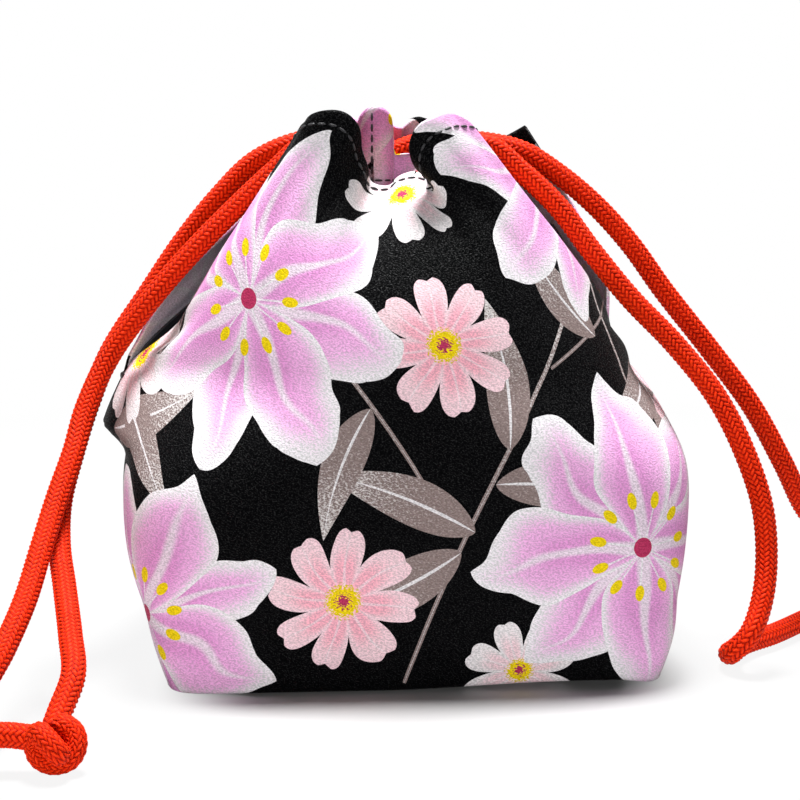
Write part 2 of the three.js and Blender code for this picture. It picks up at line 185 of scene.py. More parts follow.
# Casing and cords
RIM_HEIGHT = 0.170
SLIT_EDGE_DROP = 0.004
MOUTH_SHIFT = -0.007
MOUTH_GAP = 0.012
FACING_WIDTH = 0.028
FACING_CLOTH = 0.0008
FACING_PRINT = (0.052, 0.118)
FACING_COLUMNS = 160
FACING_ROWS = 24
FACING_PLEAT = 0.0019
FACING_WAVE = 0.0043
FACING_BOW = 0.0008
FRONT_CASING_DIP = 0.0195
BACK_CASING_DIP = 0.002
BIGHT_SAG = 0.003
HEM_HEIGHT = 0.002
FOLD_MIDDLE = -0.0092
FOLD_HALF = 0.0056
FOLD_SIDE = 0.001
FOLD_REACH = 0.0052
FOLD_RISE = 0.0070
FOLD_DROP = 0.0080
FOLD_SEAM = -0.0105
CORD_DIAMETER = 0.0065
CORD_EASE = 0.0012
CLEARANCE = 0.0003
KNOT_RADIUS = 0.009
KNOT_ABOVE_FLOOR = 0.0002
CORD_RADIUS = CORD_DIAMETER / 2
TWIST_RADIUS = CORD_RADIUS + CORD_EASE / 2
LANE_REACH = MOUTH_GAP / 2 + FACING_CLOTH + CLEARANCE + CORD_RADIUS + TWIST_RADIUS
LANE_DROP = HEM_HEIGHT + CORD_RADIUS + TWIST_RADIUS
CASING_HALF = TWIST_RADIUS + CORD_RADIUS + HEM_HEIGHT
FACING_REACH = MOUTH_GAP / 2 + FACING_CLOTH / 2
KNOT_SEAT = KNOT_RADIUS + CLEARANCE
RUN_STEPS = 6
BIGHT_STEPS = 6
CURVE_STEPS = 24

LEFT_KNOT = (-0.099, -0.114, KNOT_RADIUS)
RIGHT_KNOT = (0.162, 0.028, KNOT_RADIUS)
LEFT_KNOT_AXIS = (0.14, -0.93, 0.34)
RIGHT_KNOT_AXIS = (-0.32, -0.91, 0.25)
LEFT_FRONT_STRAND = [
    (-0.0320, -0.008, 0.1580), (-0.0410, -0.008, 0.1510), (-0.0540, -0.008, 0.1390),
    (-0.0670, -0.009, 0.1260), (-0.0785, -0.010, 0.1130), (-0.0920, -0.011, 0.0950),
]
LEFT_FRONT_TAIL = [
    (-0.0990, -0.018, 0.080), (-0.1020, -0.028, 0.068), (-0.1055, -0.039, 0.057), (-0.1085, -0.054, 0.045),
    (-0.1110, -0.071, 0.034), (-0.1145, -0.088, 0.025), (-0.1185, -0.102, 0.017), (-0.1170, -0.112, 0.011),
]
LEFT_BACK_STRAND = [
    (-0.0330, 0.007, 0.1600), (-0.0470, 0.008, 0.1540), (-0.0585, 0.007, 0.1430),
    (-0.0700, 0.006, 0.1290), (-0.0810, 0.004, 0.1130), (-0.0930, 0.001, 0.0950),
]
LEFT_BACK_TAIL = [
    (-0.0995, -0.006, 0.079), (-0.1035, -0.016, 0.065), (-0.1060, -0.027, 0.053), (-0.1050, -0.042, 0.043),
    (-0.1015, -0.059, 0.034), (-0.0975, -0.080, 0.026), (-0.0950, -0.096, 0.020),
]
RIGHT_FRONT_STRAND = [
    (0.0240, -0.0090, 0.1590), (0.0350, -0.0107, 0.1510), (0.0465, -0.0130, 0.1400),
    (0.0565, -0.0170, 0.1265), (0.0680, -0.0200, 0.1125), (0.0815, -0.0230, 0.0985),
]
RIGHT_FRONT_TAIL = [
    (0.0935, -0.028, 0.083), (0.1015, -0.032, 0.067), (0.1070, -0.035, 0.050), (0.1080, -0.038, 0.034),
    (0.1055, -0.043, 0.022), (0.1010, -0.047, 0.013), (0.0970, -0.044, 0.007), (0.0980, -0.036, 0.004),
    (0.1050, -0.027, 0.004), (0.1160, -0.018, 0.004), (0.1260, -0.008, 0.004), (0.1440, 0.010, 0.005),
]
RIGHT_BACK_STRAND = [
    (0.0240, 0.006, 0.1600), (0.0370, 0.003, 0.1570), (0.0485, 0.002, 0.1500),
    (0.0605, 0.001, 0.1400), (0.0715, 0.000, 0.1280), (0.0825, -0.001, 0.1130),
]
RIGHT_BACK_TAIL = [
    (0.0970, -0.002, 0.095), (0.1115, -0.003, 0.076), (0.1225, -0.003, 0.057),
    (0.1315, 0.001, 0.041), (0.1430, 0.010, 0.030), (0.1540, 0.021, 0.024),
]

# Braid of the cords: yarns each way round, crossings until it repeats, length of one crossing, and relief
BRAID_YARNS = 12
BRAID_REPEAT = 4
BRAID_PITCH = 0.00172
BRAID_CORE = 0.00288
BRAID_RELIEF = 0.00058
BRAID_DIP = 0.30
SIDES_PER_YARN = 6
FRAME_START = (0.3, 0.2, 0.93)
BRAID_STEP = 0.00029
KNOT_YARNS = 16
KNOT_PITCH = 0.00150
KNOT_CORD = 0.90
TAIL_TUCK = 0.0065
# Loop of a knot seen from the front, across, up and forward: its ring, the lobe over it, and the way back
KNOT_LOOP = [
    (0.0030, 0.0046, -0.0012), (0.0058, 0.0026, -0.0002), (0.0064, -0.0008, 0.0004),
    (0.0046, -0.0040, 0.0004), (0.0006, -0.0048, 0.0000), (-0.0026, -0.0030, 0.0002),
    (-0.0036, 0.0006, 0.0010), (-0.0026, 0.0028, 0.0034), (-0.0004, 0.0004, 0.0050),
    (0.0018, -0.0024, 0.0046), (0.0026, -0.0026, 0.0008), (0.0020, -0.0006, -0.0030),
    (0.0004, 0.0016, -0.0050), (0.0010, 0.0040, -0.0038),
]

# Stitches
STITCH_LENGTH = 0.0026
STITCH_GAP = 0.0007
STITCH_THICKNESS = 0.00042
STITCH_REACH = 0.52 * STITCH_LENGTH
STITCH_RISE = 0.2 * STITCH_THICKNESS
STITCH_INSET = 0.0019
RIM_STITCH_ENDS = 3
CASING_STITCH_ROW = 3
CASING_STITCH_ENDS = 2
CASING_STITCH_RISE = 0.6 * FACING_CLOTH
BARTACK_LENGTH = 0.008
BARTACK_STITCHES = 12
BARTACK_STITCH = (0.0005, 0.00042, 0.0012)
BARTACK_TURN = math.radians(14)
BARTACK_COLUMNS = 12
BARTACK_BELOW = 4

# Flowers and leaves of the print: shares of a flower's radius or of a petal, and sizes in cloth millimetres
PETAL_WANDER = 0.5
PETAL_FRILL = 0.14
PETAL_GRAIN = 0.16
LEAF_GRAIN = 0.8
EYE_GRAIN = 0.10
STAMENS = 11
FILAMENT_HALF = 0.28
FILAMENT_REACH = 0.30
ANTHER_HALF = (1.5, 2.5)
ANTHER_REACH = 0.31
STAR_HEART = 0.065
DAISY_EYE = 0.22
DAISY_HEART = 0.09

# Colours, linear
LILAC = (0.80, 0.42, 0.71, 1)
LILAC_DEEP = (0.72, 0.31, 0.62, 1)
PETAL_WHITE = (0.80, 0.78, 0.80, 1)
BLOSSOM_PINK = (0.86, 0.40, 0.49, 1)
BLOSSOM_PALE = (0.84, 0.60, 0.65, 1)
BLOSSOM_WHITE = (0.76, 0.72, 0.73, 1)
LEAF_TAUPE = (0.25, 0.19, 0.18, 1)
LEAF_PALE = (0.58, 0.55, 0.54, 1)
STAMEN_YELLOW = (0.82, 0.62, 0.008, 1)
HEART_CRIMSON = (0.46, 0.035, 0.11, 1)
GROUND_BLACK = (0.0015, 0.0015, 0.0018, 1)
WRONG_SIDE_GREY = (0.82, 0.82, 0.86, 1)
LINING_GREY = (0.035, 0.036, 0.042, 1)
LINING_DARK = (0.022, 0.022, 0.026, 1)
THREAD_BLACK = (0.006, 0.006, 0.007, 1)
THREAD_GREY = (0.022, 0.022, 0.025, 1)
CORD_RED = (0.80, 0.026, 0.0020, 1)
# The next two colours are a painted highlight on the crowns of the braid's yarns and a painted shade in its
# crevices
CORD_PAINTED_HIGHLIGHT = (0.93, 0.060, 0.0080, 1)
CORD_SHADE = (0.22, 0.002, 0.001, 1)
FLOOR_WHITE = (0.52, 0.52, 0.52, 1)
ROOM_WHITE = (1, 1, 1, 1)

# Floor: the middle and the edge of the dark shadow under the front, how strongly the floor glows white
# beside the bag, which is a painted white over the bag's shadow there, and where it turns all white further
# off
FRONT_SHADOW = (0.005, -0.040, 0.0)
FRONT_SHADOW_EDGE = (0.055, 0.085)
PAINTED_GLOW_BESIDE = 0.90
FLOOR_FADE = (0.22, 0.55)
FLOOR_HALF = 6
ROOM_FILL = 0.035


def smoothstep(value, low, high):
    share = np.clip((value - low) / (high - low), 0, 1)
    return share * share * (3 - 2 * share)


def bell(value, middle, spread):
    return np.exp(-(((value - middle) / spread) ** 2))


def hermite(share, start, end, start_slope, end_slope):
    """The cubic curve from a start to an end with these slopes."""
    return (
        (2 * share**3 - 3 * share**2 + 1) * start + (share**3 - 2 * share**2 + share) * start_slope
        + (3 * share**2 - 2 * share**3) * end + (share**3 - share**2) * end_slope
    )


def smooth_line(points):
    """The centripetal curve through the points, with CURVE_STEPS steps between each two."""
    points = np.asarray(points, float)
    padded = np.vstack([2 * points[0] - points[1], points, 2 * points[-1] - points[-2]])
    gaps = np.linalg.norm(np.diff(padded, axis=0), axis=1) ** 0.5
    share = (np.arange(CURVE_STEPS) / CURVE_STEPS)[:, None]
    line = []
    for i in range(len(points) - 1):
        p0, p1, p2, p3 = padded[i:i + 4]
        g0, g1, g2 = gaps[i:i + 3]
        leave = ((p1 - p0) / g0 - (p2 - p0) / (g0 + g1) + (p2 - p1) / g1) * g1
        arrive = ((p2 - p1) / g1 - (p3 - p1) / (g1 + g2) + (p3 - p2) / g2) * g1
        line.append(hermite(share, p1, p2, leave, arrive))
    line.append(points[-1:])
    return np.vstack(line)


def lengths_along(line):
    return np.concatenate([[0], np.cumsum(np.linalg.norm(np.diff(line, axis=0), axis=1))])


def along(line, lengths):
    """The points of a line at these lengths along it."""
    marks = lengths_along(line)
    return np.stack([np.interp(lengths, marks, line[:, k]) for k in range(3)], axis=1)


def shares_of(line, shares):
    return along(line, np.asarray(shares) * lengths_along(line)[-1])


def unit(vectors):
    return vectors / np.maximum(np.linalg.norm(vectors, axis=-1, keepdims=True), 1e-12)


def new_mesh(name, bm):
    mesh = bpy.data.meshes.new(name)
    bm.to_mesh(mesh)
    bm.free()
    return mesh


def add_object(name, mesh, materials):
    piece = bpy.data.objects.new(name, mesh)
    bpy.context.scene.collection.objects.link(piece)
    for material in materials:
        mesh.materials.append(material)
    mesh.shade_smooth()
    return piece


def bent_grid(name, places, materials, cloth_map=None, values=None, weld=False):
    """A grid bent to an array of rows of places, with its cloth map and point values; weld closes a tube."""
    rows, columns = places.shape[:2]
    bm = bmesh.new()
    bmesh.ops.create_grid(bm, x_segments=columns - 1, y_segments=rows - 1, size=0.5)
    mesh = new_mesh(name, bm)
    flat = np.empty(len(mesh.vertices) * 3)
    mesh.vertices.foreach_get("co", flat)
    flat = flat.reshape(-1, 3)
    column = np.rint((flat[:, 0] + 0.5) * (columns - 1)).astype(int)
    row = np.rint((flat[:, 1] + 0.5) * (rows - 1)).astype(int)
    mesh.vertices.foreach_set("co", places[row, column].astype(np.float32).ravel())
    if cloth_map is not None:
        corners = np.empty(len(mesh.loops), int)
        mesh.loops.foreach_get("vertex_index", corners)
        spread = cloth_map[row[corners], column[corners]]
        mesh.uv_layers.new(name="cloth").data.foreach_set("uv", spread.astype(np.float32).ravel())
    for label, value in (values or {}).items():
        attribute = mesh.attributes.new(label, "FLOAT", "POINT")
        attribute.data.foreach_set("value", value[row, column].astype(np.float32))
    if weld:
        bm = bmesh.new()
        bm.from_mesh(mesh)
        bmesh.ops.remove_doubles(bm, verts=bm.verts, dist=1e-6)
        bmesh.ops.recalc_face_normals(bm, faces=bm.faces)
        bm.to_mesh(mesh)
        bm.free()
    mesh.update()
    return add_object(name, mesh, materials)


# Shader nodes

class Graph:
    """Adds nodes to one tree, and feeds their sockets with values or with other sockets."""

    def __init__(self, tree):
        self.tree = tree

    def feed(self, socket, value):
        if isinstance(value, bpy.types.NodeSocket):
            self.tree.links.new(value, socket)
        else:
            socket.default_value = value

    def add(self, kind, inputs=None, **settings):
        node = self.tree.nodes.new(kind)
        for label, value in settings.items():
            setattr(node, label, value)
        for label, value in (inputs or {}).items():
            self.feed(node.inputs[label], value)
        return node

    def math(self, operation, *values, clamp=False):
        node = self.add("ShaderNodeMath", operation=operation, use_clamp=clamp)
        for socket, value in zip(node.inputs, values):
            self.feed(socket, value)
        return node.outputs[0]

    def vector(self, operation, *values):
        node = self.add("ShaderNodeVectorMath", operation=operation)
        for socket, value in zip(node.inputs, values):
            self.feed(socket, value)
        return node.outputs["Value"] if operation in ("LENGTH", "DISTANCE") else node.outputs["Vector"]

    def scaled(self, vector, factor):
        node = self.add("ShaderNodeVectorMath", {"Scale": factor}, operation="SCALE")
        self.feed(node.inputs[0], vector)
        return node.outputs["Vector"]

    def mix(self, factor, under, over):
        node = self.add("ShaderNodeMix", data_type="RGBA")
        self.feed(node.inputs["Factor"], factor)
        self.feed(node.inputs[6], under)
        self.feed(node.inputs[7], over)
        return node.outputs[2]

    def ramp(self, value, low, high, to_low=0.0, to_high=1.0):
        node = self.add("ShaderNodeMapRange", interpolation_type="SMOOTHSTEP")
        for label, number in zip(
            ("Value", "From Min", "From Max", "To Min", "To Max"), (value, low, high, to_low, to_high)
        ):
            self.feed(node.inputs[label], number)
        return node.outputs["Result"]

    def noise(self, vector, scale, detail=2.0, roughness=0.5):
        node = self.add(
            "ShaderNodeTexNoise",
            {"Vector": vector, "Scale": scale, "Detail": detail, "Roughness": roughness},
            noise_dimensions="3D",
        )
        return node.outputs["Fac"]

    def varied(self, value, noise, amount):
        """A value that a noise moves up and down."""
        return self.math("MULTIPLY_ADD", self.math("SUBTRACT", noise, 0.5), amount, value)

    def attribute(self, name):
        return self.add("ShaderNodeAttribute", attribute_name=name).outputs["Fac"]


def new_group(name, inputs, outputs):
    """A node group with these sockets, and its graph, inputs and outputs."""
    tree = bpy.data.node_groups.new(name, "ShaderNodeTree")
    for way, sockets in (("INPUT", inputs), ("OUTPUT", outputs)):
        for label, kind in sockets.items():
            tree.interface.new_socket(label, in_out=way, socket_type="NodeSocket" + kind)
    graph = Graph(tree)
    return tree, graph, graph.add("NodeGroupInput").outputs, graph.add("NodeGroupOutput").inputs


def place_group(graph, tree, **inputs):
    node = graph.add("ShaderNodeGroup", node_tree=tree)
    for label, value in inputs.items():
        graph.feed(node.inputs[label], value)
    return node.outputs


def round_centre(g, given):
    """Distance from the centre of a flower, in cloth millimetres, and the angle round it."""
    local = g.vector("SUBTRACT", given["Cloth"], given["Centre"])
    axes = g.add("ShaderNodeSeparateXYZ", {"Vector": local}).outputs
    angle = g.math("ADD", g.math("ARCTAN2", axes["Y"], axes["X"]), given["Turn"])
    return g.vector("LENGTH", local), angle


def whorl_group():
    """One ring of petals, in cloth millimetres: where it is, how deep inside a petal, and its middle rib."""
    tree, g, given, made = new_group(
        "petal_whorl",
        {"Cloth": "Vector", "Centre": "Vector", "Radius": "Float", "Turn": "Float", "Count": "Float",
         "Waist": "Float", "Fullness": "Float", "Notch": "Float"},
        {"Mask": "Float", "Depth": "Float", "Rib": "Float", "Reach": "Float"},
    )
    distance, angle = round_centre(g, given)
    reach = g.math("DIVIDE", distance, given["Radius"])
    turned = g.varied(angle, g.noise(given["Cloth"], 0.04, 0.0), PETAL_WANDER)
    petal = g.math("FRACT", g.math("MULTIPLY", turned, g.math("DIVIDE", given["Count"], 2 * math.pi)))
    side = g.math("MULTIPLY", g.math("ABSOLUTE", g.math("SUBTRACT", petal, 0.5)), 2)
    rounded = g.math("POWER", side, given["Fullness"])
    drawn = g.math("MULTIPLY", g.math("SUBTRACT", 1, given["Waist"]), rounded)
    tip = g.math("MAXIMUM", g.math("MULTIPLY_ADD", side, -4.0, 1), 0)
    edge = g.math("SUBTRACT", g.math("SUBTRACT", 1, drawn), g.math("MULTIPLY", tip, given["Notch"]))
    edge = g.varied(edge, g.noise(given["Cloth"], 0.09, 0.0), PETAL_FRILL)
    inside = g.math("SUBTRACT", edge, reach)
    g.feed(made["Mask"], g.math("GREATER_THAN", inside, 0))
    g.feed(made["Depth"], g.math("DIVIDE", inside, 0.5, clamp=True))
    stripe = g.math("MULTIPLY_ADD", g.math("MULTIPLY", side, reach), 14.0, g.math("MULTIPLY", reach, 0.9))
    g.feed(made["Rib"], g.ramp(stripe, 1.25, 0.65))
    g.feed(made["Reach"], reach)
    return tree


def star_flower_group(whorl):
    """A large flower of two crossed whorls with pale margins, a ring of stamens and a dark heart."""
    tree, g, given, made = new_group(
        "star_flower",
        {"Cloth": "Vector", "Speckle": "Float", "Under": "Color", "Centre": "Vector", "Radius": "Float",
         "Turn": "Float"},
        {"Color": "Color"},
    )
    colour = given["Under"]
    for turn, size in ((math.pi / 4, 0.98), (0.0, 1.0)):
        petals = place_group(
            g, whorl, Cloth=given["Cloth"], Centre=given["Centre"],
            Radius=g.math("MULTIPLY", given["Radius"], size), Turn=g.math("ADD", given["Turn"], turn),
            Count=4.0, Waist=0.16, Fullness=1.75, Notch=-0.10,
        )
        grained = g.varied(petals["Depth"], given["Speckle"], PETAL_GRAIN)
        petal = g.mix(g.ramp(grained, 0.02, 0.55), PETAL_WHITE, LILAC)
        petal = g.mix(g.ramp(grained, 0.55, 1.05), petal, LILAC_DEEP)
        petal = g.mix(g.math("MULTIPLY", petals["Rib"], 0.72), petal, PETAL_WHITE)
        colour = g.mix(petals["Mask"], colour, petal)
        reach = petals["Reach"]
    distance, angle = round_centre(g, given)
    spoke = g.math("FRACT", g.math("MULTIPLY", angle, STAMENS / (2 * math.pi)))
    apart = g.math("MULTIPLY", distance, 2 * math.pi / STAMENS)
    sideways = g.math("MULTIPLY", g.math("SUBTRACT", spoke, 0.5), apart)
    thin = g.math("LESS_THAN", g.math("ABSOLUTE", sideways), FILAMENT_HALF)
    filament = g.math("MULTIPLY", thin, g.math("LESS_THAN", reach, FILAMENT_REACH))
    colour = g.mix(g.math("MULTIPLY", filament, 0.8), colour, PETAL_WHITE)
    anther_reach = g.math("MULTIPLY", given["Radius"], ANTHER_REACH)
    anther = g.vector("LENGTH", g.add("ShaderNodeCombineXYZ", {
        "X": g.math("DIVIDE", sideways, ANTHER_HALF[0]),
        "Y": g.math("DIVIDE", g.math("SUBTRACT", distance, anther_reach), ANTHER_HALF[1]),
    }).outputs["Vector"])
    colour = g.mix(g.math("LESS_THAN", anther, 1), colour, STAMEN_YELLOW)
    g.feed(made["Color"], g.mix(g.math("LESS_THAN", reach, STAR_HEART), colour, HEART_CRIMSON))
    return tree


def daisy_group(whorl):
    """A smaller flower with eight broad petals round a yellow eye."""
    tree, g, given, made = new_group(
        "broad_daisy",
        {"Cloth": "Vector", "Speckle": "Float", "Under": "Color", "Centre": "Vector", "Radius": "Float",
         "Turn": "Float", "Pale": "Color", "Deep": "Color"},
        {"Color": "Color"},
    )
    petals = place_group(
        g, whorl, Cloth=given["Cloth"], Centre=given["Centre"], Radius=given["Radius"], Turn=given["Turn"],
        Count=8.0, Waist=0.48, Fullness=3.2, Notch=0.05,
    )
    grained = g.varied(petals["Depth"], given["Speckle"], PETAL_GRAIN)
    petal = g.mix(g.ramp(grained, 0.25, 1.15), given["Pale"], given["Deep"])
    petal = g.mix(g.math("MULTIPLY", petals["Rib"], 0.45), petal, PETAL_WHITE)
    colour = g.mix(petals["Mask"], given["Under"], petal)
    eye = g.varied(petals["Reach"], given["Speckle"], EYE_GRAIN)
    colour = g.mix(g.math("LESS_THAN", eye, DAISY_EYE), colour, STAMEN_YELLOW)
    g.feed(made["Color"], g.mix(g.math("LESS_THAN", eye, DAISY_HEART), colour, HEART_CRIMSON))
    return tree


def leaf_group():
    """A curved leaf with a pale rib; a very narrow one is a stem."""
    tree, g, given, made = new_group(
        "long_leaf",
        {"Cloth": "Vector", "Speckle": "Float", "Under": "Color", "Foot": "Vector", "Turn": "Float",
         "Length": "Float", "Width": "Float", "Curl": "Float", "Taper": "Float"},
        {"Color": "Color"},
    )
    local = g.add("ShaderNodeVectorRotate", {
        "Vector": g.vector("SUBTRACT", given["Cloth"], given["Foot"]),
        "Angle": g.math("MULTIPLY", given["Turn"], -1),
    }, rotation_type="Z_AXIS").outputs["Vector"]
    axes = g.add("ShaderNodeSeparateXYZ", {"Vector": local}).outputs
    run = g.math("DIVIDE", axes["X"], given["Length"])
    arch = g.math("MULTIPLY", g.math("MULTIPLY", run, g.math("SUBTRACT", 1, run)), given["Curl"])
    off = g.math("ABSOLUTE", g.math("SUBTRACT", axes["Y"], arch))
    within = g.math("MULTIPLY", g.math("GREATER_THAN", run, 0), g.math("LESS_THAN", run, 1))
    full = g.math("SINE", g.math("MULTIPLY", g.math("POWER", g.math("MAXIMUM", run, 0), 0.72), math.pi))
    profile = g.math("POWER", g.math("MAXIMUM", full, 0.0), given["Taper"])
    half = g.math("MULTIPLY", g.math("MULTIPLY", profile, given["Width"]), 0.5)
    mask = g.math("MULTIPLY", g.math("LESS_THAN", off, half), within)
    veins = g.math("SINE", g.math("MULTIPLY_ADD", off, 2.6, g.math("MULTIPLY", axes["X"], -1.9)))
    tone = g.varied(g.math("MULTIPLY", run, run), given["Speckle"], LEAF_GRAIN)
    tone = g.math("MULTIPLY_ADD", veins, 0.10, tone)
    colour = g.mix(g.ramp(tone, 0.25, 1.1), LEAF_TAUPE, LEAF_PALE)
    rib = g.math("LESS_THAN", off, g.math("MULTIPLY", half, g.math("MULTIPLY_ADD", run, -0.05, 0.085)))
    colour = g.mix(g.math("MULTIPLY", rib, 0.85), colour, PETAL_WHITE)
    g.feed(made["Color"], g.mix(mask, given["Under"], colour))
    return tree


# Layout of the print on a panel, in cloth millimetres from the middle of the base edge: stems and leaves
# (foot, turn in degrees, length, width, curl), then flowers (centre, radius, turn, a daisy's two colours)
STEM_TAPER = 0.05
LEAF_TAPER = 0.9
STEMS = [
    ((-4, 4), 62, 150, 1.3, 26), ((8, 52), 128, 96, 1.2, -18), ((96, 10), 104, 130, 1.2, 20),
    ((-112, 60), 66, 110, 1.2, -16), ((40, 96), 20, 84, 1.1, 14),
]
LEAVES = [
    ((12, 44), 205, 50, 15, 9), ((16, 50), 158, 47, 14, -8), ((22, 64), 352, 42, 13, 8),
    ((26, 74), 96, 44, 13, -8), ((-14, 86), 250, 40, 12, -9), ((96, 96), 205, 46, 14, 8),
    ((88, 92), 270, 40, 13, -7), ((-110, 74), 20, 44, 14, -8), ((-104, 84), 318, 42, 13, 9),
    ((60, 104), 130, 38, 12, 7), ((-70, 158), 300, 42, 13, 8), ((112, 40), 60, 46, 14, -8),
]
STAR_FLOWERS = [
    ((-50, 116), 45, 0.30), ((66, 44), 46, 0.75), ((-84, 24), 42, 1.20), ((62, 152), 40, 0.10),
    ((132, 112), 40, 0.55), ((-138, 120), 38, 0.95), ((14, -58), 42, 0.40),
]
DAISIES = [
    ((8, 104), 21, 0.20, BLOSSOM_PALE, BLOSSOM_PINK), ((-22, 30), 22, 0.55, BLOSSOM_PALE, BLOSSOM_PINK),
    ((104, 82), 19, 0.10, BLOSSOM_PALE, BLOSSOM_PINK), ((-2, 156), 20, 0.35, BLOSSOM_WHITE, BLOSSOM_PALE),
    ((-104, 96), 20, 0.75, BLOSSOM_WHITE, BLOSSOM_PALE), ((30, 6), 17, 0.05, BLOSSOM_WHITE, BLOSSOM_PALE),
    ((-128, 52), 20, 0.15, BLOSSOM_PALE, BLOSSOM_PINK),
]


def print_group():
    """The whole print on its black ground."""
    tree, g, given, made = new_group(
        "floral_print", {"Cloth": "Vector", "Speckle": "Float"}, {"Color": "Color"}
    )
    whorl = whorl_group()
    star, daisy, leaf = star_flower_group(whorl), daisy_group(whorl), leaf_group()
    shared = {"Cloth": given["Cloth"], "Speckle": given["Speckle"]}
    colour = g.add("ShaderNodeRGB").outputs[0]
    colour.default_value = GROUND_BLACK
    for sprigs, taper in ((STEMS, STEM_TAPER), (LEAVES, LEAF_TAPER)):
        for (x, y), turn, length, width, curl in sprigs:
            colour = place_group(g, leaf, **shared, Under=colour, Foot=(x, y, 0), Turn=math.radians(turn),
                                 Length=length, Width=width, Curl=curl, Taper=taper)["Color"]
    for (x, y), radius, turn, pale, deep in DAISIES:
        colour = place_group(g, daisy, **shared, Under=colour, Centre=(x, y, 0), Radius=radius, Turn=turn,
                             Pale=pale, Deep=deep)["Color"]
    for (x, y), radius, turn in STAR_FLOWERS:
        colour = place_group(g, star, **shared, Under=colour, Centre=(x, y, 0), Radius=radius,
                             Turn=turn)["Color"]
    g.feed(made["Color"], colour)
    return tree


def crinkled(g, cloth):
    """Places on the cloth, in millimetres, bent and squeezed as the crinkled yarns of crepe lie."""
    bend = g.noise(cloth, 0.9, 1.0)
    aside = g.add("ShaderNodeCombineXYZ", {"X": bend, "Y": g.math("SUBTRACT", 1, bend)}).outputs["Vector"]
    return g.vector("MULTIPLY", g.vector("ADD", cloth, g.scaled(aside, 1.1)), (0.85, 1.45, 1.0))


def crepe_group():
    """The grain of crepe: crinkled yarns as a height, and as light and dark."""
    tree, g, given, made = new_group(
        "crepe_grain", {"Cloth": "Vector"}, {"Height": "Float", "Speckle": "Float"}
    )
    yarns = g.noise(crinkled(g, given["Cloth"]), 1.65, 1.5, 0.55)
    g.feed(made["Height"], yarns)
    g.feed(made["Speckle"], g.ramp(yarns, 0.34, 0.66))
    return tree


def new_material(name):
    material = bpy.data.materials.new(name)
    material.use_nodes = True
    graph = Graph(material.node_tree)
    return material, graph, material.node_tree.nodes["Principled BSDF"]


def cloth_millimetres(graph):
    spread = graph.add("ShaderNodeUVMap", uv_map="cloth").outputs["UV"]
    return graph.scaled(spread, 1000.0)


def set_bump(graph, shader, height, strength, distance):
    bump = graph.add("ShaderNodeBump", {"Height": height, "Strength": strength, "Distance": distance})
    graph.feed(shader.inputs["Normal"], bump.outputs["Normal"])


def crepe_material(name, floral, crepe, wrong_side=False):
    """Printed crepe, which glints here and there; its wrong side shows the print pale and greyed."""
    material, g, shader = new_material(name)
    cloth = cloth_millimetres(g)
    grain = place_group(g, crepe, Cloth=cloth)
    speckle = grain["Speckle"]
    colour = place_group(g, floral, Cloth=cloth, Speckle=speckle)["Color"]
    if wrong_side:
        colour = g.mix(0.78, colour, WRONG_SIDE_GREY)
    g.feed(shader.inputs["Base Color"], g.scaled(colour, g.ramp(speckle, 0.0, 1.0, 0.76, 1.12)))
    g.feed(shader.inputs["Roughness"], g.ramp(speckle, 0.0, 1.0, 0.66, 0.50))
    glint = g.ramp(g.noise(crinkled(g, cloth), 2.4, 0.0), 0.54, 0.68)
    g.feed(shader.inputs["Specular IOR Level"], g.math("MULTIPLY_ADD", glint, 0.20, 0.010))
    shader.inputs["Sheen Weight"].default_value = 0.035
    shader.inputs["Sheen Roughness"].default_value = 0.3
    set_bump(g, shader, grain["Height"], 0.75, 0.00035)
    return material


def lining_material():
    """A dark, plain-woven lining."""
    material, g, shader = new_material("lining_weave")
    cloth = cloth_millimetres(g)
    axes = g.add("ShaderNodeSeparateXYZ", {"Vector": cloth}).outputs
    warp = g.math("SINE", g.math("MULTIPLY", axes["X"], 13.0))
    weft = g.math("SINE", g.math("MULTIPLY", axes["Y"], 13.0))
    weave = g.math("MULTIPLY", warp, weft)
    drift = g.noise(cloth, 0.06, 3.0, 0.6)
    tone = g.math("MULTIPLY_ADD", weave, 0.18, drift)
    g.feed(shader.inputs["Base Color"], g.mix(g.ramp(tone, 0.2, 0.9), LINING_DARK, LINING_GREY))
    g.feed(shader.inputs["Roughness"], g.ramp(tone, 0.2, 0.9, 0.62, 0.48))
    set_bump(g, shader, weave, 0.25, 0.0001)
    return material


def braid_material():
    """Red braid with fine fibres along each yarn, painted shade in its crevices and a painted highlight on
    its crowns.
    """
    material, g, shader = new_material("red_braid")
    crown = g.attribute("crown")
    fibre_place = g.add("ShaderNodeCombineXYZ", {
        "X": g.math("MULTIPLY", g.attribute("yarn_across"), 9.0),
        "Y": g.math("MULTIPLY", g.attribute("yarn_along"), 1.3),
        "Z": g.math("MULTIPLY", g.attribute("yarn_number"), 7.31),
    }).outputs["Vector"]
    fibres = g.noise(fibre_place, 1.0, 2.0, 0.6)
    tone = g.varied(crown, fibres, 0.9)
    # Painted shade in the crevices and a painted highlight on the crowns, both from the height of the yarn
    colour = g.mix(g.ramp(tone, 0.05, 0.70), CORD_SHADE, CORD_RED)
    g.feed(shader.inputs["Base Color"], g.mix(g.ramp(tone, 0.65, 1.15), colour, CORD_PAINTED_HIGHLIGHT))
    g.feed(shader.inputs["Roughness"], g.ramp(fibres, 0.25, 0.75, 0.62, 0.42))
    shader.inputs["Specular IOR Level"].default_value = 0.08
    set_bump(g, shader, fibres, 0.7, 0.00022)
    return material


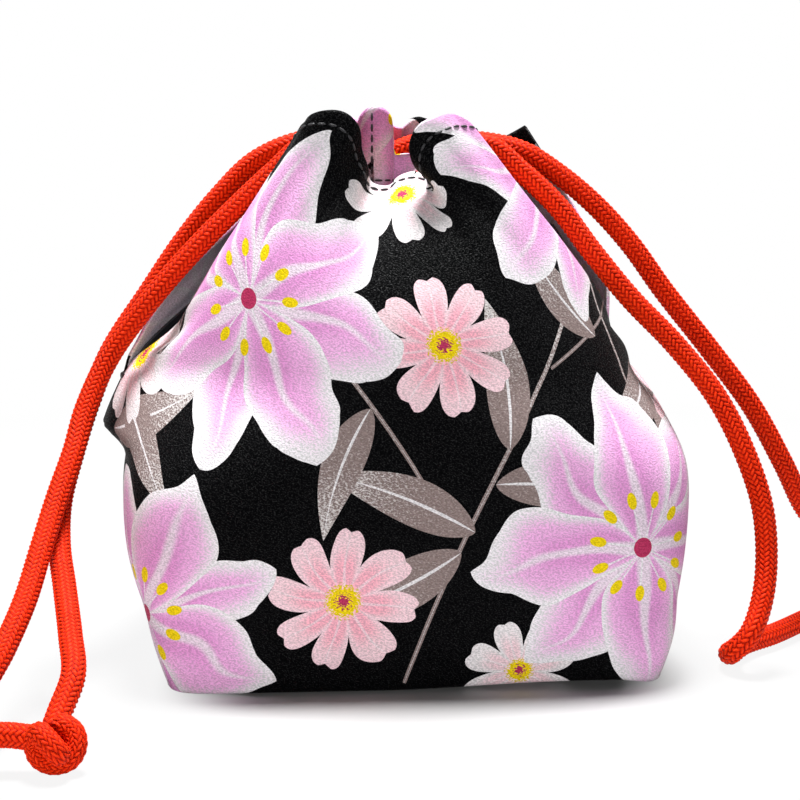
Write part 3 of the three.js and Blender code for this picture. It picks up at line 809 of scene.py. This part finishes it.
def thread_material():
    """Twisted black sewing thread."""
    material, g, shader = new_material("black_thread")
    place = g.add("ShaderNodeTexCoord").outputs["Object"]
    twist = g.add("ShaderNodeTexWave", {"Vector": place, "Scale": 900.0, "Distortion": 1.5},
                  bands_direction="DIAGONAL").outputs["Fac"]
    g.feed(shader.inputs["Base Color"], g.mix(twist, THREAD_BLACK, THREAD_GREY))
    g.feed(shader.inputs["Roughness"], g.ramp(twist, 0.0, 1.0, 0.6, 0.45))
    set_bump(g, shader, twist, 0.3, 0.0001)
    return material


floral = print_group()
crepe = crepe_group()
CREPE = crepe_material("printed_crepe", floral, crepe)
CREPE_INSIDE = crepe_material("printed_crepe_wrong_side", floral, crepe, wrong_side=True)
LINING = lining_material()
BRAID = braid_material()
THREAD = thread_material()


# Camera

def add_camera():
    camera = bpy.data.objects.new("camera", bpy.data.cameras.new("camera"))
    camera.data.lens = CAMERA_LENS_MM
    camera.data.sensor_width = CAMERA_SENSOR_MM
    camera.data.clip_start = 0.01
    back = Vector((
        math.sin(CAMERA_AZIMUTH) * math.cos(CAMERA_TILT),
        -math.cos(CAMERA_AZIMUTH) * math.cos(CAMERA_TILT),
        math.sin(CAMERA_TILT),
    ))
    camera.location = CAMERA_PLACE
    camera.rotation_euler = (-back).to_track_quat("-Z", "Y").to_euler()
    bpy.context.scene.collection.objects.link(camera)
    bpy.context.scene.camera = camera


# Cords

def braid_relief(turn, length, yarns):
    """Height of a two-over-two braid, and the place on the yarn that lies on top."""
    round_share = turn * yarns / (2 * np.pi)
    a = round_share + length / BRAID_PITCH
    b = round_share - length / BRAID_PITCH
    order = np.mod(np.floor(a) + np.floor(b), BRAID_REPEAT)
    first = order < 2
    across = np.where(first, np.mod(a, 1), np.mod(b, 1))
    float_share = np.where(first, order + np.mod(b, 1), order - 2 + np.mod(a, 1)) / 2
    number = np.where(first, np.floor(a), np.floor(b) + 0.5)
    arch = BRAID_DIP + (1 - BRAID_DIP) * np.sin(np.pi * float_share) ** 0.6
    crown = np.sin(np.pi * across) ** 0.75 * arch
    return crown, across, float_share, number


def carried_frames(line, closed):
    """A sideways direction at each point of a line, carried along it without twisting."""
    if closed:
        tangents = unit(np.roll(line[:-1], -1, axis=0) - np.roll(line[:-1], 1, axis=0))
        tangents = np.vstack([tangents, tangents[:1]])
    else:
        tangents = unit(np.gradient(line, axis=0))
    side = np.cross(tangents[0], FRAME_START)
    sides = [side / np.linalg.norm(side)]
    for tangent in tangents[1:]:
        side = sides[-1] - tangent * np.dot(sides[-1], tangent)
        sides.append(side / np.linalg.norm(side))
    return tangents, np.array(sides)


def braid_rings(line):
    """The middle of each ring of a braid along a line, and its length along the line."""
    total = lengths_along(line)[-1]
    marks = np.linspace(0, total, math.ceil(total / BRAID_STEP) + 1)
    return along(line, marks), marks


def braided_tube(name, centres, tangents, sides, marks, yarns=BRAID_YARNS, thickness=1.0, twist=0.0):
    """A braided cord round the points of a centre line, at these lengths along the whole cord."""
    ups = np.cross(tangents, sides)
    turn = np.linspace(0, 2 * np.pi, SIDES_PER_YARN * yarns + 1)[None, :]
    crown, across, float_share, number = braid_relief(turn, marks[:, None], yarns)
    radius = thickness * BRAID_CORE + BRAID_RELIEF * crown
    angle = turn + twist
    places = (
        centres[:, None, :]
        + (radius * np.cos(angle))[..., None] * sides[:, None, :]
        + (radius * np.sin(angle))[..., None] * ups[:, None, :]
    )
    places[:, -1] = places[:, 0]
    if np.allclose(centres[0], centres[-1]):
        places[-1] = places[0]
    values = {"crown": crown, "yarn_across": across, "yarn_along": float_share, "yarn_number": number}
    piece = bent_grid(name, places, [BRAID], values=values, weld=True)
    return piece


def casing_height(x, dip):
    from_middle = np.clip((x - MOUTH_SHIFT) / FACING_WIDTH, -1, 1)
    sag = dip * np.cos(from_middle * np.pi / 2) ** 2
    return RIM_HEIGHT - SLIT_EDGE_DROP - LANE_DROP - sag


def run_points(from_x, to_x, side, dip, outward):
    """A cord inside a casing, where the two cords wrap half a turn about each other."""
    x = np.linspace(from_x, to_x, RUN_STEPS + 1)
    turn = (x - MOUTH_SHIFT) / FACING_WIDTH * np.pi * outward
    reach = LANE_REACH - outward * TWIST_RADIUS * np.cos(turn)
    height = casing_height(x, dip) + TWIST_RADIUS * np.sin(turn)
    return np.stack([x, side * reach, height], axis=1)


def bight_points(x, outward):
    """The half turn of a cord at the far slit, from the front casing round to the back casing."""
    share = np.arange(1, BIGHT_STEPS) / BIGHT_STEPS
    turn = np.pi * share
    front = casing_height(x, FRONT_CASING_DIP) - TWIST_RADIUS
    back = casing_height(x, BACK_CASING_DIP) - TWIST_RADIUS
    height = front + (back - front) * share - BIGHT_SAG * np.sin(turn)
    out = x + outward * LANE_REACH * np.sin(turn)
    return np.stack([out, -LANE_REACH * np.cos(turn), height], axis=1)


def knot_entry(knot, last):
    """Where a tail meets its knot: on the knot's surface, towards the last point of the tail."""
    knot = np.asarray(knot, float)
    return knot + unit(np.asarray(last, float) - knot) * KNOT_SEAT


def add_knot(label, knot, axis):
    """A tight knot of the cord, turned so that its lobe faces along an axis."""
    loop = smooth_line(KNOT_LOOP[-2:] + KNOT_LOOP + KNOT_LOOP[:3])
    loop = loop[2 * CURVE_STEPS:(2 + len(KNOT_LOOP)) * CURVE_STEPS + 1]
    turned = np.array(Vector(axis).to_track_quat("Z", "Y").to_matrix())
    centres, marks = braid_rings(loop @ turned.T)
    total = marks[-1]
    crossings = BRAID_REPEAT * round(total / (BRAID_REPEAT * KNOT_PITCH))
    tangents, sides = carried_frames(centres, True)
    drift = math.atan2(np.dot(sides[-1], np.cross(tangents[0], sides[0])), np.dot(sides[-1], sides[0]))
    piece = braided_tube(
        f"{label}_knot_loop", centres, tangents, sides, marks / total * crossings * BRAID_PITCH,
        KNOT_YARNS, KNOT_CORD, -drift * (marks / total)[:, None],
    )
    low = min(v.co.z for v in piece.data.vertices)
    piece.data.transform(Matrix.Translation((knot[0], knot[1], KNOT_ABOVE_FLOOR - low)))
    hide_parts(f"{label}_pull_knot")
    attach(piece, f"{label}_knot")
    return piece


def cord_stretches(outward, knot, routes):
    """The points of a drawcord from its knot through both casings and back, stretch by stretch."""
    exit_x = MOUTH_SHIFT + outward * FACING_WIDTH / 2
    bight_x = MOUTH_SHIFT - outward * FACING_WIDTH / 2
    front_strand, front_tail, back_strand, back_tail = (np.array(route) for route in routes)
    bight = bight_points(bight_x, -outward)
    middle = len(bight) // 2
    return [
        ("front_tail", np.vstack([knot_entry(knot, front_tail[-1]), front_tail[::-1]])),
        ("front_strand", front_strand[::-1]),
        ("front_run", run_points(exit_x, bight_x, -1, FRONT_CASING_DIP, outward)),
        ("bight_front", bight[:middle]),
        ("bight_back", bight[middle:]),
        ("back_run", run_points(bight_x, exit_x, 1, BACK_CASING_DIP, outward)),
        ("back_strand", back_strand),
        ("back_tail", np.vstack([back_tail, knot_entry(knot, back_tail[-1])])),
    ]


def hold_stretch(piece, name):
    """Hangs a stretch that runs in a casing on its flap; the other stretches keep their places, baked into
    their meshes.
    """
    flap = "front_flap" if "front" in name else "back_flap"
    if "run" in name:
        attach(piece, flap)
    elif "bight" in name:
        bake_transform(piece)
    elif "strand" in name:
        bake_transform(piece)
    else:
        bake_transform(piece)


def add_drawcord(label, outward, knot, knot_axis, routes):
    """A drawcord with its knot, braided in one and cut into the stretches that move differently."""
    knot_piece = add_knot(label, knot, knot_axis)
    stretches = cord_stretches(outward, knot, routes)
    route = np.vstack([points for _, points in stretches])
    whole = smooth_line(route)
    cuts = lengths_along(whole)[::CURVE_STEPS] + TAIL_TUCK
    inside = np.array(knot) - route[[0, -1]]
    ends = route[[0, -1]] + unit(inside) * TAIL_TUCK
    centres, marks = braid_rings(np.vstack([ends[:1], whole, ends[1:]]))
    tangents, sides = carried_frames(centres, False)
    first = 0
    ring = 0
    for name, points in stretches:
        first = min(first + len(points), len(route) - 1)
        reach = marks[-1] if name == "back_tail" else cuts[first]
        last_ring = int(np.searchsorted(marks, reach - BRAID_STEP / 2))
        rings = slice(ring, last_ring + 1)
        line = centres[rings]
        piece = braided_tube(f"{label}_cord_{name}_braid", line, tangents[rings], sides[rings], marks[rings])
        ring = last_ring
        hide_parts(f"{label}_cord_" + ("bight" if "bight" in name else name))
        hold_stretch(piece, name)


add_camera()
add_drawcord("left", -1, LEFT_KNOT, LEFT_KNOT_AXIS,
             (LEFT_FRONT_STRAND, LEFT_FRONT_TAIL, LEFT_BACK_STRAND, LEFT_BACK_TAIL))
add_drawcord("right", 1, RIGHT_KNOT, RIGHT_KNOT_AXIS,
             (RIGHT_FRONT_STRAND, RIGHT_FRONT_TAIL, RIGHT_BACK_STRAND, RIGHT_BACK_TAIL))


# Cloth

def half_across(height, base, shoulder, slit, slit_slope):
    """Half of a size across the lower bag: it swells to the shoulder, then draws in to the slits."""
    if height <= SHOULDER_HEIGHT:
        return (base + (shoulder - base) * math.sin(height / SHOULDER_HEIGHT * math.pi / 2)) / 2
    rise = SLIT_HEIGHT - SHOULDER_HEIGHT
    return hermite((height - SHOULDER_HEIGHT) / rise, shoulder / 2, slit / 2, 0, slit_slope * rise)


def plan_row(height, shares, side, inset=0.0):
    """Half of the bag's outline at one height, from the left seam to the right one, evenly spaced."""
    width = half_across(height, BASE_WIDTH, SHOULDER_WIDTH, SLIT_WIDTH, SLIT_WIDTH_SLOPE) - inset
    depth = half_across(height, BASE_DEPTH, SHOULDER_DEPTH, SLIT_DEPTH, SLIT_DEPTH_SLOPE) - inset
    rounded = smoothstep(height, 0, SLIT_HEIGHT)
    crisp = CORNER_SQUARENESS * (1 - smoothstep(height, 0, CORNER_HEIGHT))
    power = 2 / (BASE_SQUARENESS + (SLIT_SQUARENESS - BASE_SQUARENESS) * rounded + crisp)
    angle = np.linspace(0, np.pi, OUTLINE_STEPS + 1)
    x = -width * np.sign(np.cos(angle)) * np.abs(np.cos(angle)) ** power
    y = depth * np.abs(np.sin(angle)) ** power
    outline = np.stack([x, side * (y + SEAM_GAP / 2), np.full_like(x, height)], axis=1)
    return shares_of(outline, shares)


def base_rows(shares, side, step):
    """Half of the base, from the seam across it to its rounded edge, and the row where the edge starts."""
    radius = BASE_EDGE_RADIUS
    edge = plan_row(0, shares, side, radius)
    seam = np.stack([edge[0, 0] + (edge[-1, 0] - edge[0, 0]) * shares,
                     np.full_like(shares, side * SEAM_GAP / 2), np.zeros_like(shares)], axis=1)
    count = math.ceil(BASE_DEPTH / 2 / step)
    rows = [seam + (edge - seam) * k / count for k in range(count)]
    for turn in np.linspace(0, np.pi / 2, BASE_EDGE_STEPS + 1)[:-1]:
        row = plan_row(radius, shares, side, radius * (1 - math.sin(turn)))
        row[:, 2] = radius * (1 - math.cos(turn))
        rows.append(row)
    return rows, count


def lean(rows, shares, side):
    """The uneven lean of the filled bag: alike on both sides at the seams, so that they stay shut."""
    x, y, z = rows[..., 0], rows[..., 1], rows[..., 2]
    left = np.clip(1 - shares / EAR_SHARE, 0, 1) ** 2
    right = np.clip(1 - (1 - shares) / RIGHT_SHARE, 0, 1) ** 2
    low = smoothstep(z, *SIDE_DRAW_FOOT)
    ear = smoothstep(z, *EAR_FOOT) * (1 - smoothstep(z, *(EAR_FRONT_TOP if side < 0 else EAR_BACK_TOP)))
    out = np.zeros_like(rows)
    out[..., 0] += left * (LEFT_SIDE_DRAW * low * (1 - smoothstep(z, *EAR_FOOT)) - EAR_REACH * ear)
    if side > 0:
        above = smoothstep(z, SLIT_HEIGHT, SLIT_HEIGHT + BACK_SWELL_FOOT)
        out[..., 0] -= left * BACK_SWELL * above * bell(z, BACK_SWELL_HEIGHT, BACK_SWELL_SPREAD)
    out[..., 0] -= right * RIGHT_SIDE_DRAW * low * (1 - smoothstep(z, *SIDE_DRAW_TOP))
    out[..., 0] -= right * RIGHT_DRAW * bell(z, RIGHT_DRAW_HEIGHT, RIGHT_DRAW_SPREAD)
    lift_right = RIGHT_LIFT * smoothstep(x, *RIGHT_LIFT_FROM) * (1 - smoothstep(x, *RIGHT_LIFT_TO))
    lift = (FRONT_LIFT + lift_right) * smoothstep(-y, *FRONT_LIFT_FROM)
    out[..., 2] += lift * (1 - smoothstep(z, 0.0, LIFT_TOP))
    return rows + out


def row_normals(rows, side):
    """Directions out of the cloth at each point of an array of rows."""
    across = np.gradient(rows, axis=1)
    up = np.gradient(rows, axis=0)
    return unit(np.cross(across, up)) * (-side)


def sag_ripples(rows, shares, side):
    """Slack of the filled cloth: slow dents, drag lines from the slit ends and pleats below the mouth."""
    x, z = rows[..., 0] * 1000, rows[..., 2] * 1000
    share = shares[None, :] * np.ones(rows.shape[:2])
    back = int(side > 0)
    slow = np.zeros_like(x)
    for depth, *waves in SLOW_DENTS:
        first, second = (np.sin(x / across + z / up + starts[back]) for across, up, starts in waves)
        slow += depth * first * second
    rise = smoothstep(rows[..., 2], PLEAT_FOOT, RIM_HEIGHT)
    uneven = 0.4 + 0.6 * np.sin(share * PLEAT_CHANGE) ** 2
    pleats = PLEAT_DEPTH * rise**1.5 * np.sin(share * 2 * np.pi * PLEATS + PLEAT_STARTS[back]) * uneven
    drag = np.zeros_like(x)
    slit = SLIT_HEIGHT * 1000
    for slit_share in (0.0, 1.0):
        distance = np.abs(share - slit_share) * DRAG_SPAN
        slope = np.arctan2(z - slit, distance + 1e-6)
        near = bell(distance, DRAG_REACH, DRAG_REACH) * bell(z, slit, DRAG_SPREAD)
        drag += DRAG_DEPTH * np.sin(slope * DRAG_LINES + DRAG_STARTS[back]) * near
    from_seams = np.minimum(1, SLACK_FROM_SEAMS * share * (1 - share))
    still = smoothstep(rows[..., 2], *SLACK_FOOT) * from_seams
    return (slow + pleats + drag) * still / 1000


def flap_rows(shares, side, rim, sweep, step):
    """The flap from the slits to the rim: folds of the rim fade downwards into an even sweep."""
    foot = plan_row(SLIT_HEIGHT, shares, side)
    edge = shares_of(smooth_line(rim), shares)
    even = shares_of(smooth_line(sweep), shares)
    count = math.ceil((RIM_HEIGHT - SLIT_HEIGHT) / step)
    turn = (shares - 0.5) * np.pi
    outward = np.stack([np.sin(turn), side * np.cos(turn), np.zeros_like(turn)], axis=1)
    rows = []
    for k in range(count + 1):
        up = k / count
        row = foot + (even - foot) * up + outward * FLAP_BULGE * 4 * up * (1 - up)
        rows.append(row + (edge - even) * up**FOLD_FADE)
    return rows


def eased(row, passes):
    """A row of places smoothed along itself, with its ends kept."""
    for _ in range(passes):
        row = np.vstack([row[:1], (row[:-2] + 2 * row[1:-1] + row[2:]) / 4, row[-1:]])
    return row


def hem_rows(rows, side):
    """The rim turned over to the inside in a narrow hem, which eases through the tight folds."""
    normals = unit(eased(row_normals(rows[-4:], side)[-1], HEM_EASE))
    upward = unit(eased(unit(rows[-1] - rows[-3]), HEM_EASE))
    turned = []
    for turn in np.linspace(0, np.pi, HEM_ROUND_STEPS + 1)[1:]:
        inward = normals * HEM_RADIUS * (1 - math.cos(turn))
        turned.append(rows[-1] - inward + upward * HEM_RADIUS * math.sin(turn))
    for drop in np.linspace(0, HEM_TURN, HEM_TURN_STEPS + 1)[1:]:
        turned.append(rows[-1] - normals * 2 * HEM_RADIUS - upward * drop)
    return np.array([eased(row, 2 + k) for k, row in enumerate(turned)])


def cloth_spread(rows, edge_row):
    """The flat cloth under each point: across from the middle, and up from the base edge."""
    across = np.linalg.norm(np.diff(rows, axis=1), axis=2)
    across = np.concatenate([np.zeros((len(rows), 1)), np.cumsum(across, axis=1)], axis=1)
    middle = rows.shape[1] // 2
    across -= across[:, middle:middle + 1]
    up = lengths_along(rows[:, middle])
    up = (up - up[edge_row])[:, None] * np.ones(rows.shape[1])
    return np.stack([across, up], axis=2)


def thicken(piece, thickness, offset):
    wall = piece.modifiers.new("cloth", "SOLIDIFY")
    wall.thickness = thickness
    wall.offset = offset
    return wall


def hang_cloth(piece):
    """Bakes the placing of a cloth into its mesh."""
    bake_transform(piece)


def bag_rows(shares, side, rim, sweep, step):
    """All rows of one side of the bag, from base seam to rim, and the rows of the base edge and slits."""
    rows, edge_row = base_rows(shares, side, step)
    count = math.ceil((SLIT_HEIGHT - BASE_EDGE_RADIUS) / step)
    for height in np.linspace(BASE_EDGE_RADIUS, SLIT_HEIGHT, count + 1)[:-1]:
        rows.append(plan_row(height, shares, side))
    foot_row = len(rows)
    rows += flap_rows(shares, side, rim, sweep, step)
    rows = lean(np.array(rows), shares, side)
    ripples = sag_ripples(rows, shares, side)
    from_seam = np.minimum(shares, 1 - shares) * HALF_ROUND
    below = 1 - smoothstep(rows[..., 2], SLIT_HEIGHT - SEAM_GROOVE_TOP, SLIT_HEIGHT)
    ripples -= SEAM_GROOVE * bell(from_seam, 0, SEAM_GROOVE_WIDTH)[None, :] * below
    return rows + row_normals(rows, side) * ripples[..., None], edge_row, foot_row


def add_panel(label, side, rim, sweep):
    """The outer cloth of one side in one piece, with its turned hem; gives its rows and the slit's row."""
    shares = np.linspace(0, 1, CLOTH_COLUMNS + 1)
    rows, edge_row, foot_row = bag_rows(shares, side, rim, sweep, CLOTH_STEP)
    rim_row = len(rows) - 1
    rows = np.concatenate([rows, hem_rows(rows, side)])
    spread = cloth_spread(rows, edge_row)
    if side > 0:
        spread = BACK_PRINT - spread
    piece = bent_grid(f"{label}_cloth", rows[:, ::-side], [CREPE, CREPE_INSIDE], spread[:, ::-side])
    wall = thicken(piece, CLOTH, -1)
    wall.material_offset = 1
    wall.use_even_offset = False
    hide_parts(f"outer_{label}_panel", f"{label}_mouth_flap")
    hang_cloth(piece)
    return rows[:rim_row + 1], rows[foot_row - BARTACK_BELOW]


def add_lining(label, side, rim, sweep):
    """The lining of one side, which ends below the casing and is drawn in from the slits."""
    shares = np.linspace(LINING_EDGE, 1 - LINING_EDGE, LINING_COLUMNS + 1)
    rows, edge_row, foot_row = bag_rows(shares, side, rim, sweep, LINING_STEP)
    top = foot_row + int((len(rows) - foot_row) * LINING_TOP)
    rows = (rows - row_normals(rows, side) * LINING_INSET)[:top]
    for k in range(foot_row, top):
        drawn = 1 - LINING_DRAW * smoothstep(k, foot_row, foot_row + LINING_DRAW_ROWS)
        rows[k] = shares_of(rows[k], 0.5 + (shares - 0.5) * drawn)
    spread = cloth_spread(rows, edge_row)
    piece = bent_grid(f"{label}_lining", rows[:, ::-side], [LINING], spread[:, ::-side])
    thicken(piece, LINING_CLOTH, -1)
    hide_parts(f"{label}_panel_lining", f"{label}_flap_lining")
    hang_cloth(piece)


def add_facing(label, side, dip, fold):
    """The gathered strip behind the cords, which closes the casing; it may stand in a fold."""
    off = np.linspace(-FACING_WIDTH / 2, FACING_WIDTH / 2, FACING_COLUMNS + 1)
    x = MOUTH_SHIFT + off
    middle = casing_height(x, dip)
    round_fold = fold * np.sqrt(np.clip(1 - ((x - FOLD_MIDDLE) / FOLD_HALF) ** 2, 0, 1))
    fold_end = FOLD_MIDDLE + FOLD_HALF
    beside = fold * smoothstep(x, fold_end - FOLD_SIDE, fold_end + FOLD_SIDE)
    rows = []
    for up in np.linspace(-1, 1, FACING_ROWS + 1):
        pleats = np.sin(off / FACING_PLEAT + 0.5 * up) + 0.5 * np.sin(off / FACING_WAVE + 1.1)
        bow = FACING_BOW * pleats * (0.55 + 0.45 * up) * (1 - round_fold)
        y = side * (FACING_REACH + bow - FOLD_REACH * round_fold)
        z = middle + CASING_HALF * up + (FOLD_RISE * round_fold - FOLD_DROP * beside) * max(up, 0)
        rows.append(np.stack([x, y, z], axis=1))
    rows = np.array(rows)
    spread = cloth_spread(rows, 0) + FACING_PRINT
    piece = bent_grid(f"{label}_facing_strip", rows[:, ::-side], [CREPE], spread[:, ::-side])
    thicken(piece, FACING_CLOTH, 0)
    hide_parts(f"{label}_casing_facing")
    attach(piece, f"{label}_flap")
    return rows


def add_stitch(bm, place):
    bmesh.ops.create_uvsphere(bm, u_segments=8, v_segments=6, radius=1, matrix=place)


def add_thread(name, bm, node, body):
    """One piece of all the stitches in a bmesh, for one node that moves with a body."""
    piece = add_object(name, new_mesh(name, bm), [THREAD])
    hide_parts(node)
    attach(piece, body)


def sew(bm, line, normals):
    """A row of separate stitches along a line on the cloth."""
    total = lengths_along(line)[-1]
    pitch = STITCH_LENGTH + STITCH_GAP
    for start in np.arange(STITCH_GAP, total - pitch, pitch):
        ends = along(line, [start, start + STITCH_LENGTH])
        middle = ends.mean(axis=0)
        normal = normals[np.argmin(np.linalg.norm(line - middle, axis=1))]
        run = unit(ends[1] - ends[0])
        out = unit(normal - run * np.dot(normal, run))
        across = np.cross(out, run)
        basis = Matrix((run * STITCH_REACH, across * STITCH_THICKNESS, out * STITCH_THICKNESS))
        add_stitch(bm, Matrix.Translation(middle + out * STITCH_RISE) @ basis.transposed().to_4x4())


def add_seams(name, seams, node, body):
    """The stitches of some seams, each a line with its directions out of the cloth."""
    bm = bmesh.new()
    for line, normals in seams:
        sew(bm, line, normals)
    bmesh.ops.recalc_face_normals(bm, faces=bm.faces)
    add_thread(name, bm, node, body)


def add_flap_stitches(label, side, rows, facing):
    """The topstitching along the rim, and the lower stitch line of the casing."""
    normals = row_normals(rows, side)
    up = np.cumsum(np.linalg.norm(np.diff(rows[::-1], axis=0), axis=2).mean(axis=1))
    inset = len(rows) - 2 - int(np.searchsorted(up, STITCH_INSET))
    inside = slice(RIM_STITCH_ENDS, -RIM_STITCH_ENDS)
    rim_seam = (rows[inset, inside], normals[inset, inside])
    add_seams(f"{label}_rim_stitches", [rim_seam], f"{label}_rim_stitch", f"{label}_flap")
    inward = np.array((0.0, -side, 0.0))
    lines = [facing[CASING_STITCH_ROW, CASING_STITCH_ENDS:-CASING_STITCH_ENDS]]
    if side > 0:
        lines.append(facing[:, np.argmin(np.abs(facing[0, :, 0] - FOLD_SEAM))])
    seams = [(line + inward * CASING_STITCH_RISE, np.tile(inward, (len(line), 1))) for line in lines]
    add_seams(f"{label}_casing_stitches", seams, f"{label}_casing_stitch", f"{label}_flap")


def add_bartack(label, front, back):
    """Dense cross stitches over the end of a slit, along the cloth from its front edge to its back edge."""
    across = np.vstack([front[::-1], back])
    middle = lengths_along(across)[len(front) - 1]
    bm = bmesh.new()
    for i in range(BARTACK_STITCHES):
        share = (i + 0.5) / BARTACK_STITCHES - 0.5
        place = Matrix.Translation(along(across, [middle + BARTACK_LENGTH * share])[0])
        size = Matrix.Diagonal((*BARTACK_STITCH, 1))
        add_stitch(bm, place @ Matrix.Rotation(BARTACK_TURN, 4, "X") @ size)
    add_thread(f"{label}_slit_stitches", bm, f"{label}_slit_bartack", "bag_body")


front_rows, front_slit = add_panel("front", -1, FRONT_RIM, FRONT_RIM_SWEEP)
add_lining("front", -1, FRONT_RIM, FRONT_RIM_SWEEP)
back_rows, back_slit = add_panel("back", 1, BACK_RIM, BACK_RIM_SWEEP)
add_lining("back", 1, BACK_RIM, BACK_RIM_SWEEP)
front_facing = add_facing("front", -1, FRONT_CASING_DIP, 0.0)
back_facing = add_facing("back", 1, BACK_CASING_DIP, 1.0)
add_flap_stitches("front", -1, front_rows, front_facing)
add_flap_stitches("back", 1, back_rows, back_facing)
add_bartack("left", front_slit[:BARTACK_COLUMNS], back_slit[:BARTACK_COLUMNS])
add_bartack("right", front_slit[::-1][:BARTACK_COLUMNS], back_slit[::-1][:BARTACK_COLUMNS])


# Stage

def seen_by_camera(g):
    """One for what the camera sees, also by way of a shiny or a clear surface."""
    path = g.add("ShaderNodeLightPath").outputs
    mirrored = g.math("MAXIMUM", path["Is Glossy Ray"], path["Is Transmission Ray"])
    return g.math("MAXIMUM", path["Is Camera Ray"], mirrored)


def add_floor():
    """A floor that keeps the shadow in front of the bag, glows a painted white over its shadow beside it,
    and is plain white further off.
    """
    bm = bmesh.new()
    bmesh.ops.create_grid(bm, x_segments=1, y_segments=1, size=FLOOR_HALF)
    material, g, shader = new_material("white_floor")
    shader.inputs["Base Color"].default_value = FLOOR_WHITE
    shader.inputs["Roughness"].default_value = 0.9
    shader.inputs["Specular IOR Level"].default_value = 0.1
    place = g.add("ShaderNodeTexCoord").outputs["Object"]
    # Beside the bag the floor glows white for the camera: a painted white over the bag's shadow there
    beside = g.ramp(g.vector("DISTANCE", place, FRONT_SHADOW), *FRONT_SHADOW_EDGE, 0.0, PAINTED_GLOW_BESIDE)
    far = g.math("MAXIMUM", beside, g.ramp(g.vector("LENGTH", place), *FLOOR_FADE))
    white = g.add("ShaderNodeEmission", {"Color": ROOM_WHITE, "Strength": 1.0})
    both = g.add("ShaderNodeMixShader")
    g.feed(both.inputs[0], g.math("MULTIPLY", far, seen_by_camera(g)))
    g.feed(both.inputs[1], shader.outputs["BSDF"])
    g.feed(both.inputs[2], white.outputs["Emission"])
    output = material.node_tree.nodes["Material Output"]
    g.feed(output.inputs["Surface"], both.outputs["Shader"])
    add_object("floor", new_mesh("floor", bm), [material])


def add_lamp(name, place, aim, width, height, watts, glossy):
    """A soft oval lamp; only a glossy one shows as a glint on the cloth."""
    lamp = bpy.data.lights.new(name, "AREA")
    lamp.shape = "ELLIPSE"
    lamp.size = width
    lamp.size_y = height
    lamp.energy = watts
    holder = bpy.data.objects.new(name, lamp)
    holder.location = place
    holder.rotation_euler = (Vector(aim) - Vector(place)).to_track_quat("-Z", "Y").to_euler()
    holder.visible_glossy = glossy
    bpy.context.scene.collection.objects.link(holder)


def add_world():
    """A white room that gives only a little light."""
    world = bpy.data.worlds.new("white_room")
    world.use_nodes = True
    bpy.context.scene.world = world
    g = Graph(world.node_tree)
    fill = world.node_tree.nodes["Background"]
    fill.inputs["Color"].default_value = ROOM_WHITE
    fill.inputs["Strength"].default_value = ROOM_FILL
    white = g.add("ShaderNodeBackground", {"Color": ROOM_WHITE, "Strength": 1.0})
    both = g.add("ShaderNodeMixShader")
    g.feed(both.inputs[0], seen_by_camera(g))
    g.feed(both.inputs[1], fill.outputs["Background"])
    g.feed(both.inputs[2], white.outputs["Background"])
    g.feed(world.node_tree.nodes["World Output"].inputs["Surface"], both.outputs["Shader"])


add_floor()
add_world()
add_lamp("overhead", place=(0.00, 0.12, 1.10), aim=(0, 0, 0.05), width=0.32, height=0.32,
         watts=28.0, glossy=True)
add_lamp("front", place=(-0.25, -1.15, 0.13), aim=(0, 0, 0.08), width=0.9, height=0.18,
         watts=6.6, glossy=False)
bpy.context.scene.view_settings.view_transform = "Standard"
